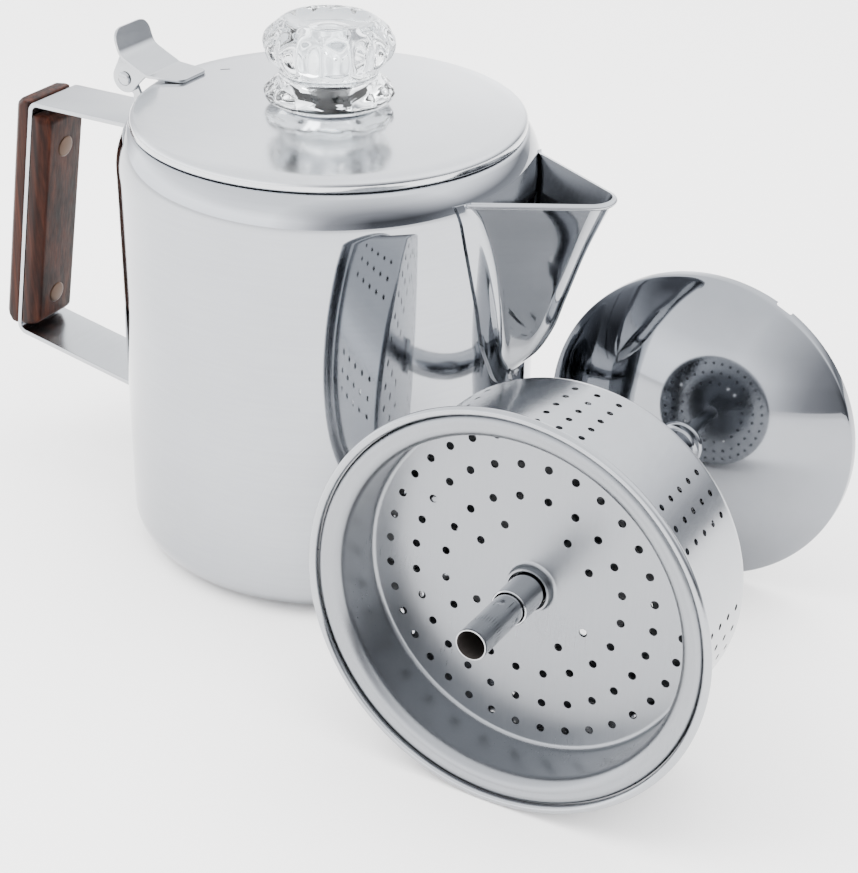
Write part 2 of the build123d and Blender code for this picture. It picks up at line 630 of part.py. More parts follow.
def pan_outline():
    """Section of the spreader: flange, wall, floor and the drawn collar round the sleeve."""
    sheet = PAN_SHEET
    flange_z = RIM_TOP - 3.0 + BASKET_SHEET + 0.3
    low = PAN_FLOOR - sheet
    top = PAN_FLOOR + COLLAR_HEIGHT
    corner = 1.6
    bend = 1.2
    cos45 = cos(radians(45))
    wall_x = PAN_R - sheet
    collar_x = COLLAR_BORE_R + sheet
    bend_x, bend_z = PAN_R + PAN_FLARE, flange_z - PAN_FLARE
    inner_bend = PAN_FLARE + sheet
    wire = Wire([
        Line((PAN_FLANGE_R, flange_z), (PAN_FLANGE_R, flange_z + sheet)),
        Line((PAN_FLANGE_R, flange_z + sheet), (bend_x, flange_z + sheet)),
        ThreePointArc((bend_x, flange_z + sheet),
                      (bend_x - inner_bend * cos45, bend_z + inner_bend * cos45), (wall_x, bend_z)),
        Line((wall_x, bend_z), (wall_x, PAN_FLOOR + corner)),
        ThreePointArc((wall_x, PAN_FLOOR + corner),
                      (wall_x - corner * (1 - cos45), PAN_FLOOR + corner * (1 - cos45)),
                      (wall_x - corner, PAN_FLOOR)),
        Line((wall_x - corner, PAN_FLOOR), (collar_x + bend, PAN_FLOOR)),
        ThreePointArc((collar_x + bend, PAN_FLOOR),
                      (collar_x + bend * (1 - cos45), PAN_FLOOR + bend * (1 - cos45)),
                      (collar_x, PAN_FLOOR + bend)),
        Line((collar_x, PAN_FLOOR + bend), (collar_x, top)),
        Line((collar_x, top), (COLLAR_BORE_R, top)),
        Line((COLLAR_BORE_R, top), (COLLAR_BORE_R, low)),
        Line((COLLAR_BORE_R, low), (PAN_R - corner, low)),
        ThreePointArc((PAN_R - corner, low), (PAN_R - corner * (1 - cos45), low + corner * (1 - cos45)),
                      (PAN_R, low + corner)),
        Line((PAN_R, low + corner), (PAN_R, bend_z)),
        ThreePointArc((PAN_R, bend_z),
                      (bend_x - PAN_FLARE * cos45, bend_z + PAN_FLARE * cos45), (bend_x, flange_z)),
        Line((bend_x, flange_z), (PAN_FLANGE_R, flange_z)),
    ])
    return make_face(Plane.XZ * wire)


def build_spreader():
    pair_rings = [(PAN_PAIR_R, 4, 30.0), (PAN_PAIR_R, 4, 60.0)]
    return turned(pan_outline()) - ring_holes(PAN_RINGS + pair_rings, PAN_FLOOR)


# ---------------------------------------------------------------- write the nodes
def main():
    rivets = build_rivets()
    grip_outer, grip_inner = build_grips(rivets)
    strap = build_strap()
    for rivet in rivets:
        strap -= rivet
    nodes = {
        "pot_shell": build_pot(),
        "spout": build_spout(),
        "handle_strap": strap,
        "grip_outer": grip_outer,
        "grip_inner": grip_inner,
        "grip_rivets": Compound(children=rivets),
        "hinge_bracket": build_bracket(),
        "hinge_pin": build_pin(),
        "hinge_washers": Compound(children=build_washers()),
        "lid_shell": build_lid(),
        "thumb_lever": build_lever(),
        "knob_seat": build_seat(),
        "knob_glass": build_knob(),
        "pump_tube": in_place(build_tube()),
        "pump_dome": in_place(build_dome()),
        "dome_ferrule": in_place(build_ferrule()),
        "stop_collar": in_place(build_stop()),
        "basket_cup": in_place(build_basket()),
        "basket_sleeve": in_place(build_sleeve()),
        "sleeve_crimp": in_place(build_crimp()),
        "spreader": in_place(build_spreader()),
    }
    os.makedirs("parts", exist_ok=True)
    for name, shape in nodes.items():
        export_step(shape, f"parts/{name}.step")


if __name__ == "__main__":
    main()
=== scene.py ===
import bpy
import bmesh
import json
import numpy as np
from math import asin, atan2, cos, degrees, hypot, pi, radians, sin, sqrt, tan
from mathutils import Euler, Matrix, Vector


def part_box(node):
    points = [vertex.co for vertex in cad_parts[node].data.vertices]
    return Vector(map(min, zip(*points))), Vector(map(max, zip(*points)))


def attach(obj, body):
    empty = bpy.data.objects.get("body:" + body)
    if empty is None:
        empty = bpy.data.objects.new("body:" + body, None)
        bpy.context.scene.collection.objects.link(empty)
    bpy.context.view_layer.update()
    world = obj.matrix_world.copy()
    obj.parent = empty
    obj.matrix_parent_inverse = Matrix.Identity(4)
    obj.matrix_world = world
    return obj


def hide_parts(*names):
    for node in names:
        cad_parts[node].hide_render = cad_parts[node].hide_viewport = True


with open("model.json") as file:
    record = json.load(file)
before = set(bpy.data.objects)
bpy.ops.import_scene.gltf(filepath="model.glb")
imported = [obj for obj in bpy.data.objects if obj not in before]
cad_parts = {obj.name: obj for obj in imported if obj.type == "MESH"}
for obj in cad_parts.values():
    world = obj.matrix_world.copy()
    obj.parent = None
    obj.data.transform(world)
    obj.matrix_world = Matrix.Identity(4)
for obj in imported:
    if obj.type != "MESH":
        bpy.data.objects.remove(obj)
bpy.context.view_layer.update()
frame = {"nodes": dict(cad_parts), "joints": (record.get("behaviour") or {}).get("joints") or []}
MM = 0.001
JOINTS = {joint["name"]: joint for joint in frame["joints"]}

# ------------------------------------------------------------------ sizes, in mm, as in the CAD
# The pot is 0.01 smaller than its CAD radius of 71, to stay inside the faceted CAD box.
POT_R, WALL, BASE_FILLET = 70.99, 0.8, 12.0
SHOULDER_Z, SHOULDER_R = 137.0, 22.7
MOUTH_Z, MOUTH_R = 151.0, 64.2
SPOUT_TOP, SPOUT_SHEET, SPOUT_WALL_X = 144.4, 1.0, 68.0
WINDOW_TOP = 134.0
FLANGE = 0.9
STRAP, STRAP_HALF = 1.8, 12.0
ARM_Z, LEG_TOP_X, LEG_FOOT_X, LEG_FOOT_Z, LOW_ARM_Z = 139.2, -118.2, -133.0, 45.2, 33.6
GRIP = 6.5
PIN_X, PIN_Z, PIN_R = -76.5, 154.5, 1.5
LID_R, LID_EDGE_Z, LID_CROWN_Z, LID_CROWN_R = 66.0, 155.4, 157.2, 24.0
KNOB_HOLE_R = 13.0
DOME_R, DOME_SKIRT, DOME_RISE, DOME_SHEET = 54.7, 4.0, 16.0, 0.8
TUBE_R, TUBE_FOOT, TUBE_END = 4.75, 13.0, 169.5
BASKET_FOOT, BASKET_R, BASKET_SHEET = 103.0, 55.0, 0.6
RIM_R, RIM_TOP, BEAD_R, FLARE = 63.3, 152.7, 1.25, 2.5
SLEEVE_R, SLEEVE_BORE_R, SLEEVE_END = 5.6, 5.05, 146.5
PAN_FLOOR, PAN_R, PAN_FLANGE_R, PAN_SHEET = 131.5, 54.0, 60.2, 0.6
COLLAR_BORE_R, COLLAR_HEIGHT = 6.3, 3.2
PAN_FLARE = 3.5
HOLE_R, SIDE_HOLE_R = 1.3, 1.0
PAN_RINGS = [(47.3, 36, 8.0), (38.5, 28, 9.4), (28.6, 20, 12.0)]
PAN_PAIR_R = 20.0
PATCHES, PATCH_PHASE, COLUMNS, COLUMN_STEP = 8, 38.5, 3, 7.3
ROWS, ROW_STEP, FIRST_ROW = 5, 6.3, 110.7

RIVET_HEIGHTS = (121.0, 60.5)
LEAF_Z = 156.1
LEVER_HALF, TIP_ROUND, LEAF_TAPER, TAPER_LENGTH, LEAF_ROUND = 9.7, 4.6, 2.4, 14.5, 2.2
EAR_Y, EAR_R = 8.7, 5.0
PIN_HEAD_R, PIN_HALF = 2.5, 10.9
KNOB_FOOT_Z, SPIGOT_R, KNOB_BORE_R = 153.3, 11.8, 9.0
FLUTES = 14
NOTCHES, NOTCH_PHASE, NOTCH_HALF, NOTCH_TOP = 4, 63.6, 3.0, 2.3
PAN_EDGE_R = 1.5
SPLIT = 6                     # mesh columns in each cell of the basket's wall

# ------------------------------------------------------------------ camera and lights
AZIMUTH, ELEVATION, ROLL = radians(28.35), radians(28.92), radians(1.36)
CAMERA_PLACE = (0.3225, -0.5229, 0.3710)
FOCAL_RATIO = 1937.5 / 873.0  # focal length over the frame's height
SENSOR = 36.0
SKY_STRENGTH = 3.1
# name, width, height, place, target, watts
LIGHTS = [
    ("key", 1.2, 1.2, (-0.9, -0.7, 1.6), (0, 0, 0.05), 42),
    ("fill", 0.9, 1.4, (1.3, -0.6, 0.9), (0, 0, 0.08), 14),
    ("top", 1.6, 1.6, (0.1, 0.3, 1.9), (0, 0, 0), 36),
]


# ------------------------------------------------------------------ where the pump set lies
def pump_set_matrix():
    """Local +Z runs along the tube; the CAD's slide axis and tube box say where it is."""
    axis = Vector(JOINTS["basket_slide"]["axis"]).normalized()
    low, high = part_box("pump_tube")
    foot = (low + high) / 2 / MM - axis * (TUBE_FOOT + TUBE_END) / 2
    side = Vector((1, 0, 0))
    up = axis.cross(side)
    turn = Matrix((side, up, axis)).transposed().to_4x4()
    return Matrix.Translation(foot) @ turn


HERE = Matrix.Identity(4)
SET = pump_set_matrix()


# ------------------------------------------------------------------ materials
def new_material(name):
    material = bpy.data.materials.new(name)
    material.use_nodes = True
    nodes = material.node_tree.nodes
    links = material.node_tree.links
    shader = nodes["Principled BSDF"]
    coords = nodes.new("ShaderNodeTexCoord")
    return material, nodes, links, shader, coords


def mapped(nodes, links, coords, scale, rotation=(0, 0, 0)):
    mapping = nodes.new("ShaderNodeMapping")
    mapping.inputs["Scale"].default_value = scale
    mapping.inputs["Rotation"].default_value = rotation
    links.new(coords.outputs["Object"], mapping.inputs["Vector"])
    return mapping.outputs["Vector"]


def noise(nodes, links, vector, scale, detail=3.0, rough=0.5):
    texture = nodes.new("ShaderNodeTexNoise")
    texture.inputs["Scale"].default_value = scale
    texture.inputs["Detail"].default_value = detail
    texture.inputs["Roughness"].default_value = rough
    links.new(vector, texture.inputs["Vector"])
    return texture.outputs["Fac"]


def ranged(nodes, links, value, low, high, start=0.3, end=0.7):
    node = nodes.new("ShaderNodeMapRange")
    node.inputs["From Min"].default_value = start
    node.inputs["From Max"].default_value = end
    node.inputs["To Min"].default_value = low
    node.inputs["To Max"].default_value = high
    links.new(value, node.inputs["Value"])
    return node.outputs["Result"]


def bumped(nodes, links, shader, height, distance, strength=1.0, normal=None):
    bump = nodes.new("ShaderNodeBump")
    bump.inputs["Strength"].default_value = strength
    bump.inputs["Distance"].default_value = distance
    links.new(height, bump.inputs["Height"])
    if normal is not None:
        links.new(normal, bump.inputs["Normal"])
    links.new(bump.outputs["Normal"], shader.inputs["Normal"])
    return bump.outputs["Normal"]


def ramp(nodes, links, value, stops):
    node = nodes.new("ShaderNodeValToRGB")
    elements = node.color_ramp.elements
    while len(elements) < len(stops):
        elements.new(0.5)
    for element, (position, colour) in zip(elements, stops):
        element.position = position
        element.color = (*colour, 1.0)
    links.new(value, node.inputs["Fac"])
    return node.outputs["Color"]


def steel(name, tone, rough_low, rough_high, brush, brush_scale, wave=0.0):
    """Stainless sheet: brushing stretched along one axis, faint smears and a slight waviness."""
    material, nodes, links, shader, coords = new_material(name)
    shader.inputs["Metallic"].default_value = 1.0
    fine = mapped(nodes, links, coords, brush_scale)
    grain = noise(nodes, links, fine, 1.0, 4.0, 0.6)
    smears = noise(nodes, links, mapped(nodes, links, coords, (30, 30, 30)), 1.0, 4.0, 0.55)
    blend = nodes.new("ShaderNodeMath")
    blend.operation = "MULTIPLY_ADD"
    blend.inputs[1].default_value = 0.5
    links.new(grain, blend.inputs[0])
    half = nodes.new("ShaderNodeMath")
    half.operation = "MULTIPLY"
    half.inputs[1].default_value = 0.5
    links.new(smears, half.inputs[0])
    links.new(half.outputs[0], blend.inputs[2])
    roughness = ranged(nodes, links, blend.outputs[0], rough_low, rough_high)
    links.new(roughness, shader.inputs["Roughness"])
    dark = tuple(c * 0.94 for c in tone)
    colour = ramp(nodes, links, blend.outputs[0], [(0.35, dark), (0.6, tone)])
    links.new(colour, shader.inputs["Base Color"])
    normal = bumped(nodes, links, shader, grain, brush * MM, 1.0)
    if wave:
        swell = noise(nodes, links, mapped(nodes, links, coords, (16, 16, 16)), 1.0, 1.0, 0.4)
        bumped(nodes, links, shader, swell, wave * MM, 1.0, normal)
    return material


def rosewood(name):
    """Dark red-brown wood with its grain along the grip, fine pores and an oiled skin."""
    material, nodes, links, shader, coords = new_material(name)
    lean = atan2(LEG_TOP_X - LEG_FOOT_X, ARM_Z - LEG_FOOT_Z)
    along = mapped(nodes, links, coords, (420, 260, 14), (0, -lean, 0))
    warp = noise(nodes, links, along, 1.0, 6.0, 0.62)
    broad = noise(nodes, links, mapped(nodes, links, coords, (110, 90, 9), (0, -lean, 0)), 1.0, 3.0, 0.5)
    colour = ramp(nodes, links, warp, [(0.30, (0.004, 0.0012, 0.0006)), (0.44, (0.016, 0.0040, 0.0020)),
                                       (0.56, (0.038, 0.0100, 0.0046)), (0.74, (0.080, 0.023, 0.010))])
    shade = ramp(nodes, links, broad, [(0.35, (0.45, 0.40, 0.38)), (0.65, (1.0, 1.0, 1.0))])
    mix = nodes.new("ShaderNodeMix")
    mix.data_type = "RGBA"
    mix.blend_type = "MULTIPLY"
    mix.inputs["Factor"].default_value = 1.0
    links.new(colour, mix.inputs["A"])
    links.new(shade, mix.inputs["B"])
    links.new(mix.outputs["Result"], shader.inputs["Base Color"])
    pores = noise(nodes, links, mapped(nodes, links, coords, (1500, 1500, 60), (0, -lean, 0)), 1.0, 2.0, 0.5)
    links.new(ranged(nodes, links, pores, 0.58, 0.42), shader.inputs["Roughness"])
    shader.inputs["Specular IOR Level"].default_value = 0.14
    bumped(nodes, links, shader, pores, 0.05 * MM, 0.8)
    shader.inputs["Coat Weight"].default_value = 0.02
    shader.inputs["Coat Roughness"].default_value = 0.25
    return material


def clear_glass(name):
    """Pressed glass: clear, with faint ripples left by the mould."""
    material, nodes, links, shader, coords = new_material(name)
    shader.inputs["Base Color"].default_value = (0.90, 0.925, 0.935, 1.0)
    shader.inputs["Transmission Weight"].default_value = 1.0
    shader.inputs["IOR"].default_value = 1.5
    ripple = noise(nodes, links, mapped(nodes, links, coords, (120, 120, 120)), 1.0, 2.0, 0.5)
    links.new(ranged(nodes, links, ripple, 0.0, 0.03), shader.inputs["Roughness"])
    bumped(nodes, links, shader, ripple, 0.12 * MM, 0.5)
    return material


MIRROR = steel("polished steel", (0.365, 0.379, 0.402), 0.03, 0.075, 0.0008, (40, 40, 900), wave=0.010)
LID_STEEL = steel("lid steel", (0.54, 0.555, 0.575), 0.12, 0.19, 0.0020, (60, 1500, 60))
SATIN = steel("satin steel", (0.40, 0.413, 0.43), 0.16, 0.25, 0.0030, (1200, 80, 80))
# The dome's polished steel made darker than the pot's, as painted shade under the basket.
DOME_SHADED_STEEL = steel("dome steel painted shade", (0.235, 0.246, 0.265), 0.035, 0.08, 0.0008, (60, 60, 60), wave=0.012)
# The spout's inner face: the same steel made darker, as painted shade inside the spout.
SPOUT_INNER_SHADE = steel("spout inner face painted shade", (0.27, 0.277, 0.29), 0.16, 0.26, 0.0060, (900, 900, 60))
POT_LINING = steel("pot lining", (0.62, 0.63, 0.645), 0.24, 0.34, 0.0060, (60, 60, 900))
# The basket's inner face: the same steel made dark, as painted shade inside the basket and behind its holes.
BASKET_INNER_SHADE = steel("basket inner face painted shade", (0.22, 0.225, 0.235), 0.24, 0.34, 0.0060, (140, 140, 900))
TUBE_STEEL = steel("tube steel", (0.42, 0.43, 0.445), 0.08, 0.15, 0.0020, (900, 60, 900))
# The tube's bore: near black, as painted shade inside the tube.
BORE_SHADE = steel("tube bore painted shade", (0.10, 0.09, 0.085), 0.45, 0.60, 0.0060, (300, 60, 300))
BASKET_STEEL = steel("basket steel", (0.335, 0.347, 0.366), 0.14, 0.22, 0.0024, (140, 140, 900))
PAN_STEEL = steel("spreader steel", (0.245, 0.255, 0.271), 0.25, 0.36, 0.0040, (1500, 1500, 60))
RIVET_STEEL = steel("rivet steel", (0.060, 0.036, 0.024), 0.28, 0.42, 0.0060, (900, 900, 900))
WOOD = rosewood("rosewood")
GLASS = clear_glass("clear glass")


# ------------------------------------------------------------------ mesh helpers
def to_object(name, verts, faces, material, place=HERE, merge=0.002):
    """New object from points in mm, put in place and turned to metres."""
    mesh = bpy.data.meshes.new(name)
    mesh.from_pydata([tuple(place @ Vector(v)) for v in verts], [], faces)
    work = bmesh.new()
    work.from_mesh(mesh)
    bmesh.ops.remove_doubles(work, verts=work.verts, dist=merge)
    bmesh.ops.scale(work, vec=(MM, MM, MM), verts=work.verts)
    work.to_mesh(mesh)
    work.free()
    obj = bpy.data.objects.new(name, mesh)
    bpy.context.scene.collection.objects.link(obj)
    obj.data.materials.append(material)
    return obj


def settle(obj, sharp=35.0):
    """Apply the modifiers and shade smooth except across real edges."""
    bpy.context.view_layer.update()
    graph = bpy.context.evaluated_depsgraph_get()
    mesh = bpy.data.meshes.new_from_object(obj.evaluated_get(graph))
    obj.modifiers.clear()
    obj.data = mesh
    for polygon in mesh.polygons:
        polygon.use_smooth = True
    mesh.set_sharp_from_angle(angle=radians(sharp))
    return obj


def thicken(obj, thickness, offset=-1.0, even=True):
    modifier = obj.modifiers.new("sheet", "SOLIDIFY")
    modifier.thickness = thickness * MM
    modifier.offset = offset
    modifier.use_even_offset = even
    return obj


def soften(obj, width, segments=3, angle=40.0):
    modifier = obj.modifiers.new("edge", "BEVEL")
    modifier.width = width * MM
    modifier.segments = segments
    modifier.limit_method = "ANGLE"
    modifier.angle_limit = radians(angle)
    return obj


def turn_outwards(obj):
    """Make every face of a closed mesh look outwards."""
    work = bmesh.new()
    work.from_mesh(obj.data)
    bmesh.ops.recalc_face_normals(work, faces=work.faces)
    work.to_mesh(obj.data)
    work.free()
    return obj


def carve(obj, cutter):
    modifier = obj.modifiers.new("cut", "BOOLEAN")
    modifier.operation = "DIFFERENCE"
    modifier.solver = "EXACT"
    modifier.object = cutter
    settle(obj)
    bpy.data.objects.remove(cutter)
    return obj


def fit(obj, body, slot, *nodes):
    """Let a finished piece ride on its body and stand for its CAD nodes."""
    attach(obj, body)
    if nodes:
        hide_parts(*nodes)
    return obj


def arc(centre, radius, start, end, steps):
    """Points on an arc in the profile plane, angles in degrees from +r towards +z."""
    return [(centre[0] + radius * cos(radians(a)), centre[1] + radius * sin(radians(a)))
            for a in np.linspace(start, end, steps + 1)]


def smooth_line(points, steps=8):
    """Catmull-Rom curve through profile points."""
    p = [np.array(q, float) for q in points]
    p = [2 * p[0] - p[1]] + p + [2 * p[-1] - p[-2]]
    curve = []
    for a, b, c, d in zip(p, p[1:], p[2:], p[3:]):
        for t in np.linspace(0, 1, steps, endpoint=False):
            q = 0.5 * (2 * b + (c - a) * t + (2 * a - 5 * b + 4 * c - d) * t ** 2
                       + (3 * b - a - 3 * c + d) * t ** 3)
            curve.append(tuple(q))
    return curve + [tuple(p[-2])]


def even_angles(count):
    return [2 * pi * i / count for i in range(count)]


def lathe_data(outline, angles, closed, radius_at=None):
    """Grid of points swept about Z. Faces look away from the axis when the outline runs up."""
    verts, faces = [], []
    n = len(angles)
    for r, z in outline:
        for a in angles:
            q = radius_at(r, z, a) if radius_at else r
            verts.append((q * cos(a), q * sin(a), z))
    rows = len(outline)
    for i in range(rows if closed else rows - 1):
        k = (i + 1) % rows
        for j in range(n):
            m = (j + 1) % n
            quad = [i * n + j, i * n + m, k * n + m, k * n + j]
            faces.append(quad)
    return verts, faces


def without_slivers(verts, faces):
    """Drop repeated corners where the outline touches the axis."""
    kept = []
    for face in faces:
        corners = []
        for index in face:
            point = verts[index]
            if not any(sum((a - b) ** 2 for a, b in zip(point, verts[c])) < 1e-8 for c in corners):
                corners.append(index)
        if len(corners) > 2:
            kept.append(corners)
    return kept


def lathe(name, outline, material, count=128, closed=True, place=HERE, radius_at=None):
    verts, faces = lathe_data(outline, even_angles(count), closed, radius_at)
    return to_object(name, verts, without_slivers(verts, faces), material, place)


def plate(name, outline, y_low, y_high, material):
    """Flat plate with an XZ outline between two Y values."""
    n = len(outline)
    verts = [(x, y_low, z) for x, z in outline] + [(x, y_high, z) for x, z in outline]
    faces = [list(range(n)), list(range(2 * n - 1, n - 1, -1))]
    faces += [[i, i + n, (i + 1) % n + n, (i + 1) % n] for i in range(n)]
    obj = to_object(name, verts, faces, material)
    return turn_outwards(obj)


def rounded(points, radii, steps=6, closed=True):
    """Polyline with its corners rounded."""
    result = []
    n = len(points)
    for i, (point, radius) in enumerate(zip(points, radii)):
        p = np.array(point, float)
        if radius == 0 or (not closed and i in (0, n - 1)):
            result.append(tuple(p))
            continue
        before = np.array(points[i - 1], float) - p
        after = np.array(points[(i + 1) % n], float) - p
        before /= np.linalg.norm(before)
        after /= np.linalg.norm(after)
        half = np.arccos(np.clip(before @ after, -1, 1)) / 2
        reach = radius / tan(half)
        middle = (before + after) / np.linalg.norm(before + after)
        centre = p + middle * radius / sin(half)
        a = p + before * reach - centre
        b = p + after * reach - centre
        sweep = np.arccos(np.clip(a @ b / radius ** 2, -1, 1))
        for t in np.linspace(0, 1, steps + 1):
            q = (a * sin((1 - t) * sweep) + b * sin(t * sweep)) / sin(sweep)
            result.append(tuple(centre + q))
    return result


def paint(obj, material, test):
    """Give the faces whose middle passes the test another material."""
    obj.data.materials.append(material)
    index = len(obj.data.materials) - 1
    for polygon in obj.data.polygons:
        if test(polygon.center / MM):
            polygon.material_index = index
    return obj


def join(target, others):
    """Add other objects' meshes to the first and delete them."""
    work = bmesh.new()
    work.from_mesh(target.data)
    for other in others:
        work.from_mesh(other.data)
        bpy.data.objects.remove(other)
    work.to_mesh(target.data)
    work.free()
    return target


# ------------------------------------------------------------------ spout sections
def wall_radius(z):
    """Outside of the pot at a height."""
    if z <= SHOULDER_Z:
        return POT_R
    return POT_R - SHOULDER_R + sqrt(SHOULDER_R ** 2 - (z - SHOULDER_Z) ** 2)


SPOUT_HEIGHTS = [73.0, 76.0, 79.0, 86.0, 94.0, 107.0, 126.0, 144.4]
SPOUT_KEEL = [69.5, 71.2, 73.6, 80.0, 84.6, 89.1, 95.6, 103.5]
SPOUT_HALF = [4.0, 5.4, 6.6, 8.6, 10.2, 13.2, 18.4, 25.0]
SPOUT_KEEL_R = [4.0, 4.4, 4.8, 5.8, 6.5, 6.5, 6.0, 8.0]
FLANGE_Z = [73.0, 75.0, 86.0, 109.0, 128.0, 144.4]
FLANGE_HALF = [5.0, 8.0, 15.4, 21.8, 26.4, 30.0]


def curve_value(z, heights, values):
    """Smooth interpolation of a column of sizes over height."""
    h = np.array(heights)
    v = np.array(values)
    slopes = np.gradient(v, h)
    i = int(np.clip(np.searchsorted(h, z) - 1, 0, len(h) - 2))
    step = h[i + 1] - h[i]
    t = (z - h[i]) / step
    return ((2 * t ** 3 - 3 * t ** 2 + 1) * v[i] + (t ** 3 - 2 * t ** 2 + t) * step * slopes[i]
            + (3 * t ** 2 - 2 * t ** 3) * v[i + 1] + (t ** 3 - t ** 2) * step * slopes[i + 1])


def spout_half_section(z, inset):
    """Line of the spout's side: slope, apex, keel centre and radius, moved in by inset."""
    keel = curve_value(z, SPOUT_HEIGHTS, SPOUT_KEEL)
    half = curve_value(z, SPOUT_HEIGHTS, SPOUT_HALF)
    radius = curve_value(z, SPOUT_HEIGHTS, SPOUT_KEEL_R)
    angle = atan2(half, max(keel - SPOUT_WALL_X, 1.0))
    for _ in range(12):
        apex = keel + radius * (1 / sin(angle) - 1)
        angle = atan2(half, apex - SPOUT_WALL_X)
    apex -= inset / sin(angle)
    return angle, apex, radius - inset


def spout_row(z):
    """Half section of the pressed sheet, from the flange's edge to the keel."""
    angle, apex, radius = spout_half_section(z, 0.0)
    wall = wall_radius(z) + FLANGE + 0.05
    slope = tan(angle)
    a = 1 + slope ** 2
    b = -2 * slope ** 2 * apex
    c = slope ** 2 * apex ** 2 - wall ** 2
    root = sqrt(max(b * b - 4 * a * c, 0.0))
    x_crease = (-b + root) / (2 * a) if apex > wall else wall
    y_crease = (apex - x_crease) * slope if apex > wall else 0.0
    y_crease = max(y_crease, 0.02)
    edge = curve_value(z, FLANGE_Z, FLANGE_HALF)
    bend = min(2.4, max(0.3, (edge - y_crease) * 0.5))
    a_edge = asin(edge / wall)
    a_crease = asin(min(y_crease / wall, 0.999)) + bend / wall
    a_crease = min(a_crease, a_edge - 0.002)
    row = [(wall * cos(t), wall * sin(t)) for t in np.linspace(a_edge, a_crease, 9)]
    run = radius / tan(angle)
    touch = (apex - run * cos(angle), run * sin(angle))
    side = np.array([touch[0] - x_crease, touch[1] - y_crease])
    length = np.linalg.norm(side)
    direction = side / max(length, 1e-6)
    corner = np.array([x_crease, y_crease])
    start = np.array(row[-1])
    after = corner + direction * min(bend, length * 0.45)
    for t in np.linspace(0, 1, 8)[1:]:
        row.append(tuple((1 - t) ** 2 * start + 2 * t * (1 - t) * corner + t ** 2 * after))
    for t in np.linspace(0, 1, 12)[1:]:
        row.append(tuple(after + (np.array(touch) - after) * t))
    centre_x = apex - radius / sin(angle)
    for t in np.linspace(pi / 2 - angle, 0, 12)[1:]:
        row.append((centre_x + radius * cos(t), radius * sin(t)))
    kept = []
    for x, y in row:
        reach = hypot(x, y)
        if reach < wall:
            x, y = x * wall / reach, y * wall / reach
        kept.append((x, max(y, 0.0)))
    kept[-1] = (kept[-1][0], 0.0)
    return kept


def spout_levels():
    return list(np.linspace(75.0, SPOUT_TOP, 64))


def spout_cavity_cutter():
    """Closed shape of the room inside the spout, which opens the pot's wall."""
    levels = [80.0] + list(np.linspace(82.0, WINDOW_TOP, 24))
    rings = []
    for z in levels:
        angle, apex, radius = spout_half_section(min(z, SPOUT_TOP), SPOUT_SHEET + 0.4)
        run = radius / tan(angle)
        centre_x = apex - radius / sin(angle)
        half = [(55.0, (apex - 55.0) * tan(angle)), (apex - run * cos(angle), run * sin(angle))]
        half += [(centre_x + radius * cos(t), radius * sin(t))
                 for t in np.linspace(pi / 2 - angle, 0, 6)[1:]]
        ring = [(x, -y) for x, y in half] + [(x, y) for x, y in reversed(half[:-1])]
        rings.append([(x, y, z) for x, y in ring])
    n = len(rings[0])
    verts = [v for ring in rings for v in ring]
    faces = [list(range(n))[::-1], [len(verts) - n + i for i in range(n)]]
    for i in range(len(rings) - 1):
        for j in range(n):
            k = (j + 1) % n
            faces.append([i * n + j, i * n + k, (i + 1) * n + k, (i + 1) * n + j])
    cutter = to_object("spout_cutter", verts, faces, MIRROR)
    return turn_outwards(cutter)


# ------------------------------------------------------------------ pot
def inside_pot(p):
    """Whether a point on the pot's sheet is on its inner face."""
    reach = hypot(p.x, p.y)
    if reach >= POT_R - WALL * 0.75 or not WALL * 0.5 < p.z < MOUTH_Z - WALL * 1.1:
        return False
    if p.z >= SHOULDER_Z:
        return reach < wall_radius(p.z) - WALL * 0.7
    if p.z > BASE_FILLET or reach < POT_R - BASE_FILLET:
        return True
    return hypot(reach - POT_R + BASE_FILLET, p.z - BASE_FILLET) < BASE_FILLET - WALL * 0.5


def make_pot():
    centre = POT_R - SHOULDER_R
    top_angle = degrees(asin((MOUTH_Z - 0.5 - SHOULDER_Z) / SHOULDER_R))
    inner_r = SHOULDER_R - WALL
    inner_angle = degrees(asin((MOUTH_Z - WALL - SHOULDER_Z) / inner_r))
    fillet = POT_R - BASE_FILLET
    outline = [(0.0, 0.0), (20.0, 0.0), (40.0, 0.0)]
    outline += arc((fillet, BASE_FILLET), BASE_FILLET, -90, 0, 20)
    outline += [(POT_R, z) for z in np.linspace(BASE_FILLET, SHOULDER_Z, 19)[1:-1]]
    outline += arc((centre, SHOULDER_Z), SHOULDER_R, 0, top_angle, 16)
    edge = centre + sqrt(SHOULDER_R ** 2 - (MOUTH_Z - SHOULDER_Z) ** 2)
    outline += [(edge - 0.1, MOUTH_Z - 0.12), (edge - 0.5, MOUTH_Z), (MOUTH_R + 0.5, MOUTH_Z)]
    outline += arc((MOUTH_R + 0.4, MOUTH_Z - 0.4), 0.4, 90, 270, 8)
    outline += arc((centre, SHOULDER_Z), inner_r, inner_angle, 0, 12)
    outline += [(POT_R - WALL, z) for z in np.linspace(SHOULDER_Z, BASE_FILLET, 19)[1:-1]]
    outline += arc((fillet, BASE_FILLET), BASE_FILLET - WALL, 0, -90, 12)
    outline += [(40.0, WALL), (20.0, WALL), (0.0, WALL)]
    pot = lathe("pot_skin", outline, MIRROR, count=360, closed=False)
    carve(pot, spout_cavity_cutter())
    settle(pot, 30)
    paint(pot, POT_LINING, inside_pot)
    return fit(pot, "pot", "polished_steel", "pot_shell")


